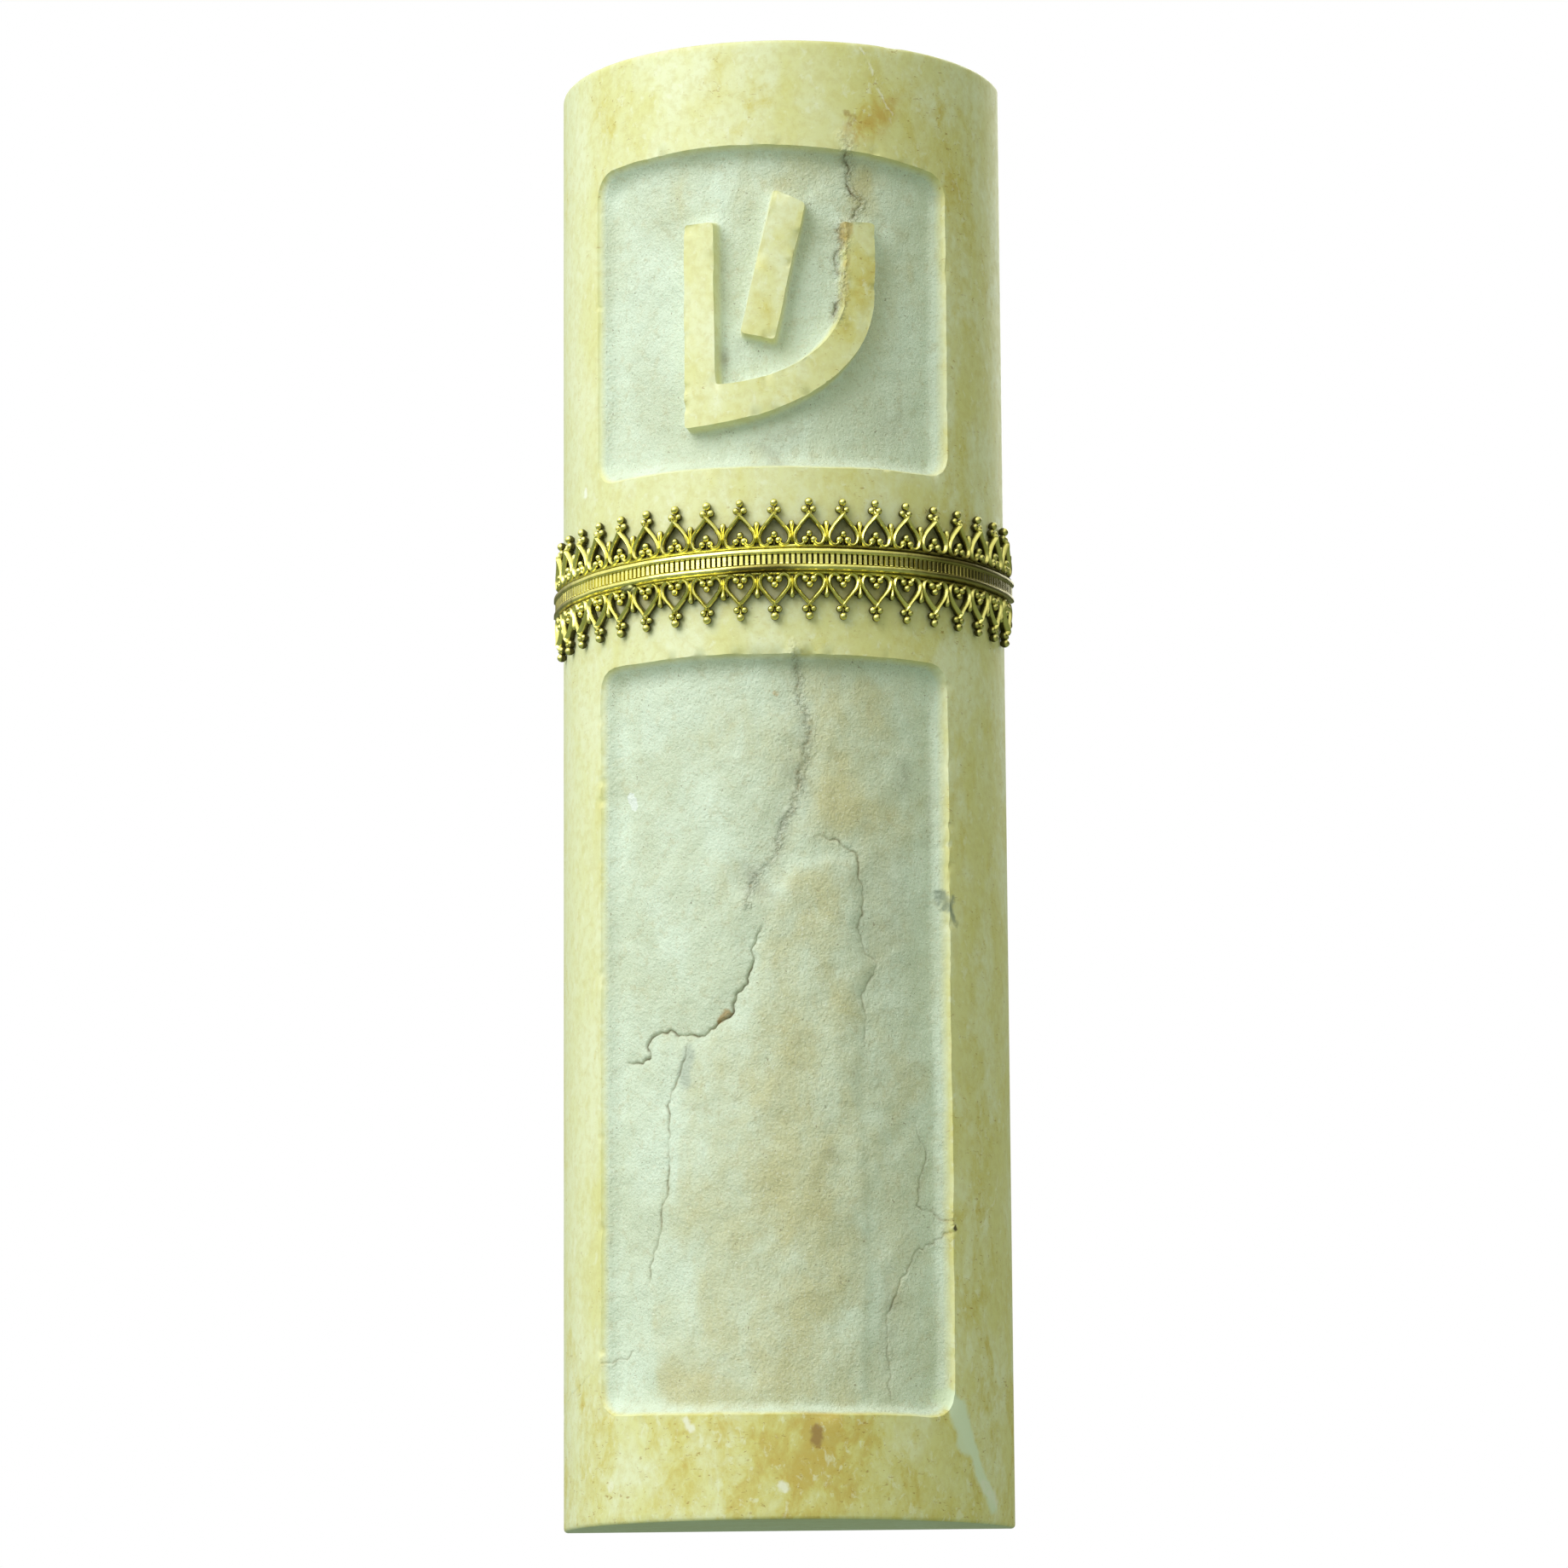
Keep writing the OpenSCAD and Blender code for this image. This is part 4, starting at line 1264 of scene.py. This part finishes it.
    # Single marks: chips, veins and stains
    broken = p.fit(p.noise(0.9, 5, 0.65, 0.3, shift=56), 0.35, 0.6)
    for points, half, fade, paint, strength in MARKS:
        mask = p.times(p.line(at, points, half, fade), broken if strength < WEAK_MARK else front)
        colour = p.mix(p.times(mask, strength), colour, rgb(*paint))
    seam = p.times(crack, p.fit(p.noise(0.7, 3, 0.6, shift=75), 0.3, 0.6, 0.35, 1))
    colour = p.mix(p.times(seam, 0.7, clamp=True), colour, rgb(132, 104, 58))

    # The two sawn ends are greyer than the honed front
    sawn = p.fit(p.maths("ABSOLUTE", p.axis(p.mm, 2)), HALF_H - 0.12, HALF_H - 0.02)
    lines = p.fit(p.noise(0.5, 3, 0.6, 0.1, (30, 1, 1), 97), 0.3, 0.7)
    saw_grey = p.mix(lines, rgb(192, 204, 178), rgb(180, 190, 160))
    colour = p.mix(p.times(sawn, 0.75), colour, saw_grey)

    # Painted shade, with some grime, on the stone inside the band's hearts, stronger in the upper
    # row of hearts
    s_run, v_run = p.axis(place, 0), p.axis(place, 1)
    beside = p.maths("PINGPONG", p.less(s_run, GRIME_SHADE_START), GRIME_SHADE_PITCH / 2)
    skew = p.times(p.maths("SINE", p.maths("DIVIDE", s_run, RADIUS)), BAND_SKEW)
    across = p.maths("ABSOLUTE", p.less(p.less(v_run, BAND_Z), skew))
    off_heart = p.pair(p.maths("DIVIDE", beside, 1.25),
                       p.maths("DIVIDE", p.less(across, 1.9), 1.9))
    round_heart = p.vector("LENGTH", off_heart)
    grime_and_shade = p.times(p.fit(round_heart, 0.75, 1.12, 1, 0), front)
    above = p.fit(v_run, BAND_Z - 0.5, BAND_Z + 0.5, 0.5, 0.72)
    uneven = p.fit(p.noise(0.8, 3, 0.6, shift=78), 0.3, 0.7, 0.8, 1.1)
    colour = p.mix(p.times(p.times(grime_and_shade, above), uneven, clamp=True), colour, rgb(112, 106, 72))
    # Painted contact shadow on the stone round the band's hearts
    contact_shadow = p.times(p.fit(across, 2.6, 5.2, 0.3, 0),
                      p.fit(p.noise(1.2, 3, 0.6, shift=79), 0.35, 0.7))
    colour = p.mix(p.times(contact_shadow, front), colour, rgb(150, 132, 72))

    # Relief too fine for the mesh
    pits = p.fit(p.noise(0.34, 2, 0.5, shift=81), 0.63, 0.74)
    rare = p.fit(p.noise(3.5, 2, 0.5, shift=83), 0.5, 0.62)
    smooth = p.plus(p.times(p.times(pits, rare), -0.012),
                    p.times(p.noise(0.9, 4, 0.6, shift=85), 0.02))
    grain = p.plus(p.times(p.noise(0.3, 4, 0.7, shift=87), 0.2),
                   p.times(p.noise(1.6, 3, 0.5, shift=88), 0.18))
    saw = p.times(p.noise(0.6, 3, 0.6, 0.1, (14, 1, 1), 90),
                  p.fit(p.axis(p.mm, 1), BACK_Y - 0.3, BACK_Y - 0.1, 0, 0.09))
    crumbs = p.times(crumble, p.times(p.noise(0.36, 4, 0.6, 0.5, shift=93), 0.6))
    height = p.plus(p.plus(p.between(blasted, smooth, grain), saw), crumbs)
    rough = p.plus(p.between(blasted, 0.46, 0.86), p.times(p.less(mottle, 0.5), 0.35))
    p.set(Base_Color=colour, Normal=p.bump(height), Roughness=rough, Specular_IOR_Level=0.4)
    return p.material


def brass_paint():
    p = Paint("stamped_brass")
    low, solder = p.attribute("low"), p.attribute("solder")
    place = p.attribute("place", "Vector")
    u, w = p.axis(place, 0), p.axis(place, 1)
    far = p.maths("MAXIMUM", p.fit(u, 8, 19), p.fit(u, -17, -27, 0, 0.7))
    patch = p.noise(2.6, 4, 0.6, 0.5, shift=3)
    film = p.plus(p.times(far, 0.8), p.fit(patch, 0.5, 0.78, 0, 0.5))
    film = p.times(film, p.fit(p.maths("ABSOLUTE", w), 1.3, 1.7, 1, 0.45))
    # A dark patch on the lower rail, and painted shadow in the groove above the upper rail towards
    # the right
    rail = p.times(p.fit(p.maths("ABSOLUTE", p.plus(w, 0.82)), 0.18, 0.42, 1, 0),
                   p.fit(p.maths("ABSOLUTE", p.plus(u, 0.6)), 1.5, 5.0, 1, 0))
    upper_groove_shadow = p.times(p.fit(p.maths("ABSOLUTE", p.less(w, 1.05)), 0.1, 0.32, 1, 0),
                         p.fit(u, 2, 7))
    dark = p.maths("MAXIMUM", rail, p.times(upper_groove_shadow, 0.7))
    # Darker, duller and less metallic low down on every piece: partly tarnish in the hollows,
    # partly painted shade
    tarnish_and_shade = p.times(p.fit(low, 0.14, 0.54),
                   p.fit(p.noise(0.5, 4, 0.6, shift=15), 0.2, 0.65, 0.75, 1.2))
    colour = p.coat(rgb(234, 227, 140), p.noise(0.9, 3, 0.6, shift=5), 0.3, 0.7, (219, 210, 118))
    colour = p.coat(colour, film, 0.1, 0.9, (124, 112, 52), 0.85)
    colour = p.mix(p.times(dark, 0.85), colour, rgb(84, 70, 30))
    colour = p.coat(colour, tarnish_and_shade, 0.15, 1.0, (50, 45, 4), 0.95)
    colour = p.mix(p.times(solder, 0.9), colour, rgb(104, 106, 72))
    rough = p.plus(p.fit(p.noise(0.7, 4, 0.6, shift=19), 0.3, 0.7, 0.18, 0.3),
                   p.times(p.plus(film, tarnish_and_shade), 0.18))
    scratch = p.noise(0.12, 3, 0.6, 0.0, (8, 8, 1), 27)
    height = p.plus(p.times(p.noise(0.35, 3, 0.6, shift=25), 0.016), p.times(scratch, 0.006))
    p.set(Base_Color=colour, Metallic=p.fit(tarnish_and_shade, 0.5, 1.1, 1, 0.6), Roughness=rough,
          Normal=p.bump(height))
    return p.material


def screw_paint():
    p = Paint("turned_brass")
    lathe = p.noise(0.07, 2, 0.5, 0, (30, 1, 30), 3)
    tone = p.noise(0.8, 4, 0.6, shift=5)
    colour = p.coat(rgb(222, 190, 112), tone, 0.3, 0.7, (196, 160, 84))
    colour = p.coat(colour, p.noise(0.25, 3, 0.6, shift=8), 0.6, 0.75, (140, 108, 56), 0.5)
    p.set(Base_Color=colour, Roughness=p.fit(lathe, 0.3, 0.7, 0.24, 0.4),
          Normal=p.bump(p.times(lathe, 0.01)), Metallic=1.0)
    return p.material


def cover_paint():
    p = Paint("moulded_cover")
    tone = p.noise(14, 4, 0.6, 0.3, shift=2)
    colour = p.coat(rgb(226, 218, 196), tone, 0.3, 0.7, (218, 209, 184))
    colour = p.coat(colour, p.noise(0.5, 3, 0.6, shift=5), 0.58, 0.75, (200, 190, 166), 0.3)
    scuff = p.fit(p.noise(0.35, 3, 0.6, 0.2, (1, 1, 40), 7), 0.62, 0.72)
    colour = p.mix(p.times(scuff, 0.25), colour, rgb(240, 235, 220))
    texture = p.plus(p.times(p.noise(0.28, 2, 0.5, shift=11), 0.05), p.times(scuff, -0.01))
    rough = p.fit(p.noise(2.2, 3, 0.5, shift=13), 0.3, 0.7, 0.5, 0.64)
    p.set(Base_Color=colour, Roughness=rough, Normal=p.bump(texture))
    return p.material


def plug_paint():
    p = Paint("nylon_plug")
    tone = p.noise(1.4, 4, 0.6, shift=4)
    colour = p.coat(rgb(242, 238, 226), tone, 0.3, 0.7, (230, 224, 206))
    lines = p.noise(0.1, 2, 0.5, 0, (12, 1, 12), 5)
    p.set(Base_Color=colour, Roughness=p.fit(lines, 0.3, 0.7, 0.4, 0.55),
          Normal=p.bump(p.times(lines, 0.012)), Subsurface_Weight=0.15, Subsurface_Scale=0.0008)
    return p.material


def cap_paint():
    p = Paint("moulded_cap")
    tone = p.noise(3.2, 4, 0.6, 0.2, shift=6)
    colour = p.coat(rgb(244, 243, 238), tone, 0.3, 0.7, (234, 232, 224))
    fine = p.noise(0.25, 3, 0.6, shift=9)
    p.set(Base_Color=colour, Roughness=p.fit(fine, 0.3, 0.7, 0.26, 0.38),
          Normal=p.bump(p.times(fine, 0.008)), Subsurface_Weight=0.08, Subsurface_Scale=0.0006)
    return p.material


def parchment_paint():
    p = Paint("parchment_skin")
    place = p.attribute("place", "Vector")
    cloud = p.noise(9, 5, 0.6, 0.4, at=place, shift=2)
    colour = p.coat(rgb(243, 233, 206), cloud, 0.3, 0.7, (230, 213, 174))
    pores = p.fit(p.noise(0.3, 3, 0.65, at=place, shift=5), 0.55, 0.72)
    colour = p.mix(p.times(pores, 0.45), colour, rgb(206, 182, 138))
    fibres = p.noise(0.25, 4, 0.6, 0.5, (7, 1, 1), 9, at=place)
    colour = p.coat(colour, fibres, 0.55, 0.8, (250, 244, 226), 0.3)
    height = p.plus(p.times(fibres, 0.02), p.times(p.noise(0.5, 3, 0.6, at=place, shift=8), 0.03))
    p.set(Base_Color=colour, Roughness=p.fit(cloud, 0.3, 0.7, 0.55, 0.72),
          Normal=p.bump(height), Sheen_Weight=0.1)
    return p.material


def foam_paint():
    p = Paint("foam_tape")
    bubble = p.cells(0.32, 3)
    big = p.cells(0.8, 8)
    # The bubbles' hollows are painted darker: painted shade
    colour = p.coat(rgb(222, 222, 214), bubble, 0.1, 0.7, (246, 246, 241))
    colour = p.coat(colour, p.noise(6, 3, 0.6, shift=4), 0.35, 0.75, (236, 233, 218), 0.4)
    height = p.plus(p.times(p.fit(bubble, 0, 0.55), 0.06), p.times(p.fit(big, 0, 0.5), 0.05))
    rough = p.fit(p.noise(1.5, 2, 0.5, shift=6), 0.3, 0.7, 0.7, 0.86)
    p.set(Base_Color=colour, Roughness=rough, Normal=p.bump(height))
    return p.material


def tube_paint():
    """Clear plastic: mostly see-through, brighter where it is seen edge on."""
    p = Paint("clear_plastic")
    wear = p.noise(0.4, 4, 0.6, 0.2, (1, 1, 20), 3)
    p.set(Base_Color=p.mix(p.fit(wear, 0.3, 0.7), rgb(236, 246, 246), rgb(222, 236, 238)),
          Roughness=p.fit(wear, 0.35, 0.75, 0.05, 0.16), Normal=p.bump(p.times(wear, 0.004)))
    clear = p.node("ShaderNodeBsdfTransparent")
    clear.inputs[0].default_value = (0.98, 0.99, 0.99, 1)
    edge = p.node("ShaderNodeLayerWeight")
    edge.inputs["Blend"].default_value = 0.25
    share = p.fit(edge.outputs["Facing"], 0.0, 1.0, 0.05, 0.75)
    both = p.blend(share, clear.outputs[0], p.shader.outputs[0])
    p.put(p.tree.nodes["Material Output"].inputs["Surface"], both)
    return p.material


# ---- Camera, light and floor ----

def make_camera():
    azimuth, elevation, roll = math.radians(4.32), math.radians(-9.91), math.radians(-0.36)
    distance = 564.6
    target = Vector((-0.06, -1.0, 1.39))
    back = Vector((math.sin(azimuth) * math.cos(elevation),
                   -math.cos(azimuth) * math.cos(elevation), math.sin(elevation)))
    right = Vector((math.cos(azimuth), math.sin(azimuth), 0))
    up = back.cross(right)
    right, up = (math.cos(roll) * right + math.sin(roll) * up,
                 math.cos(roll) * up - math.sin(roll) * right)
    data = bpy.data.cameras.new("camera")
    data.lens, data.sensor_width = 144.0, 36.0
    data.clip_start, data.clip_end = 0.01, 20
    camera = bpy.data.objects.new("camera", data)
    bpy.context.scene.collection.objects.link(camera)
    turn = Matrix((right, up, back)).transposed().to_4x4()
    camera.matrix_world = Matrix.Translation((target + back * distance) * MM) @ turn
    bpy.context.scene.camera = camera


def soft_light(name, place, size, power, colour=(1, 1, 1)):
    data = bpy.data.lights.new(name, "AREA")
    data.shape = "RECTANGLE"
    data.size, data.size_y = size[0] * MM, size[1] * MM
    data.energy = power
    data.color = colour
    light = bpy.data.objects.new(name, data)
    light.location = Vector(place) * MM
    light.rotation_mode = "QUATERNION"
    light.rotation_quaternion = light.location.to_track_quat("Z", "Y")
    bpy.context.scene.collection.objects.link(light)


def make_world():
    """Soft light all round, a backdrop with a soft horizon, and a glow for glossy things."""
    world = bpy.data.worlds.new("studio")
    world.use_nodes = True
    w = Nodes(world.node_tree)
    way = w.node("ShaderNodeTexCoord").outputs["Generated"]
    up = w.axis(way, 2)
    ramp = w.node("ShaderNodeValToRGB")
    stops = ((0.4, (0.61, 0.64, 0.47, 1)), (0.85, (0.62, 0.66, 0.52, 1)))
    for stop, (position, colour) in zip(ramp.color_ramp.elements, stops):
        stop.position, stop.color = position, colour
    w.put(ramp.inputs[0], w.times(w.plus(up, 1), 0.5))
    backdrop = w.mix(w.fit(up, -0.01, 0.045), (0.565, 0.597, 0.491, 1), (1, 1, 1, 1))
    glow = w.fit(w.vector("DOT_PRODUCT", way, (-0.5, -0.45, 0.74)), -0.35, 0.9, 0.03, 1.55)
    ray = w.node("ShaderNodeLightPath").outputs
    mirrored = w.light((0.96, 1, 0.9, 1), glow)
    lit = w.blend(ray["Is Glossy Ray"], w.light(ramp.outputs[0], 1), mirrored)
    both = w.blend(ray["Is Camera Ray"], lit, w.light(backdrop, 1))
    w.put(w.tree.nodes["World Output"].inputs["Surface"], both)
    bpy.context.scene.world = world


def make_floor():
    p = Paint("floor_paint")
    tone = p.noise(60, 3, 0.5)
    pale = p.coat(rgb(240, 236, 239), tone, 0.3, 0.7, (237, 233, 236))
    seen = p.node("ShaderNodeLightPath").outputs["Is Camera Ray"]
    p.set(Base_Color=p.mix(seen, (0.24, 0.29, 0.24, 1), pale), Roughness=0.9)
    side, z = 4000, -110
    corners = [(-side, -side, z), (side, -side, z), (side, side, z), (-side, side, z)]
    floor = make_mesh("floor", corners, [(0, 1, 2, 3)], p.material)


make_camera()
make_world()
make_floor()
soft_light("key", (-440, -487, 459), (620, 620), 4.95, (0.98, 1, 0.98))
soft_light("back", (150, 500, 300), (400, 400), 1.5, (0.97, 1, 0.96))
bpy.context.scene.view_settings.view_transform = "Standard"
bpy.context.scene.view_settings.look = "None"


# ---- The pieces, each on the body that carries it ----

stone_material, brass_material = stone_paint(), brass_paint()
turned_material, plug_material = screw_paint(), plug_paint()
cap_material, foam_material = cap_paint(), foam_paint()

PIECES = [
    (build_stone(stone_material), "case", "stone_case", "limestone"),
    (build_band(brass_material), "case", "brass_band", "band_brass"),
    (build_cover(cover_paint()), "cover", "back_cover", "cover_plastic"),
    (build_screw("upper_screw", "upper_cross_screw", turned_material),
     "upper_screw", "upper_screw", "screw_brass"),
    (build_screw("lower_screw", "lower_cross_screw", turned_material),
     "lower_screw", "lower_screw", "screw_brass"),
    (build_plug("upper_screw_plug", "upper_nylon_plug", plug_material),
     "case", "upper_screw_plug", "plug_nylon"),
    (build_plug("lower_screw_plug", "lower_nylon_plug", plug_material),
     "case", "lower_screw_plug", "plug_nylon"),
    (build_tube(tube_paint()), "scroll", "scroll_tube", "clear_plastic"),
    (build_cap("upper_tube_cap", "upper_push_cap", cap_material),
     "scroll", "upper_tube_cap", "cap_plastic"),
    (build_cap("lower_tube_cap", "lower_push_cap", cap_material),
     "scroll", "lower_tube_cap", "cap_plastic"),
    (build_parchment(parchment_paint()), "scroll", "parchment_scroll", "parchment"),
    (build_pad("left_pad", "left_foam_pad", foam_material, 111), "case", "left_pad", "pad_foam"),
    (build_pad("right_pad", "right_foam_pad", foam_material, 121), "case", "right_pad", "pad_foam"),
]
for piece, body, node, slot in PIECES:
    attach(piece, body)
    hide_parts(node)
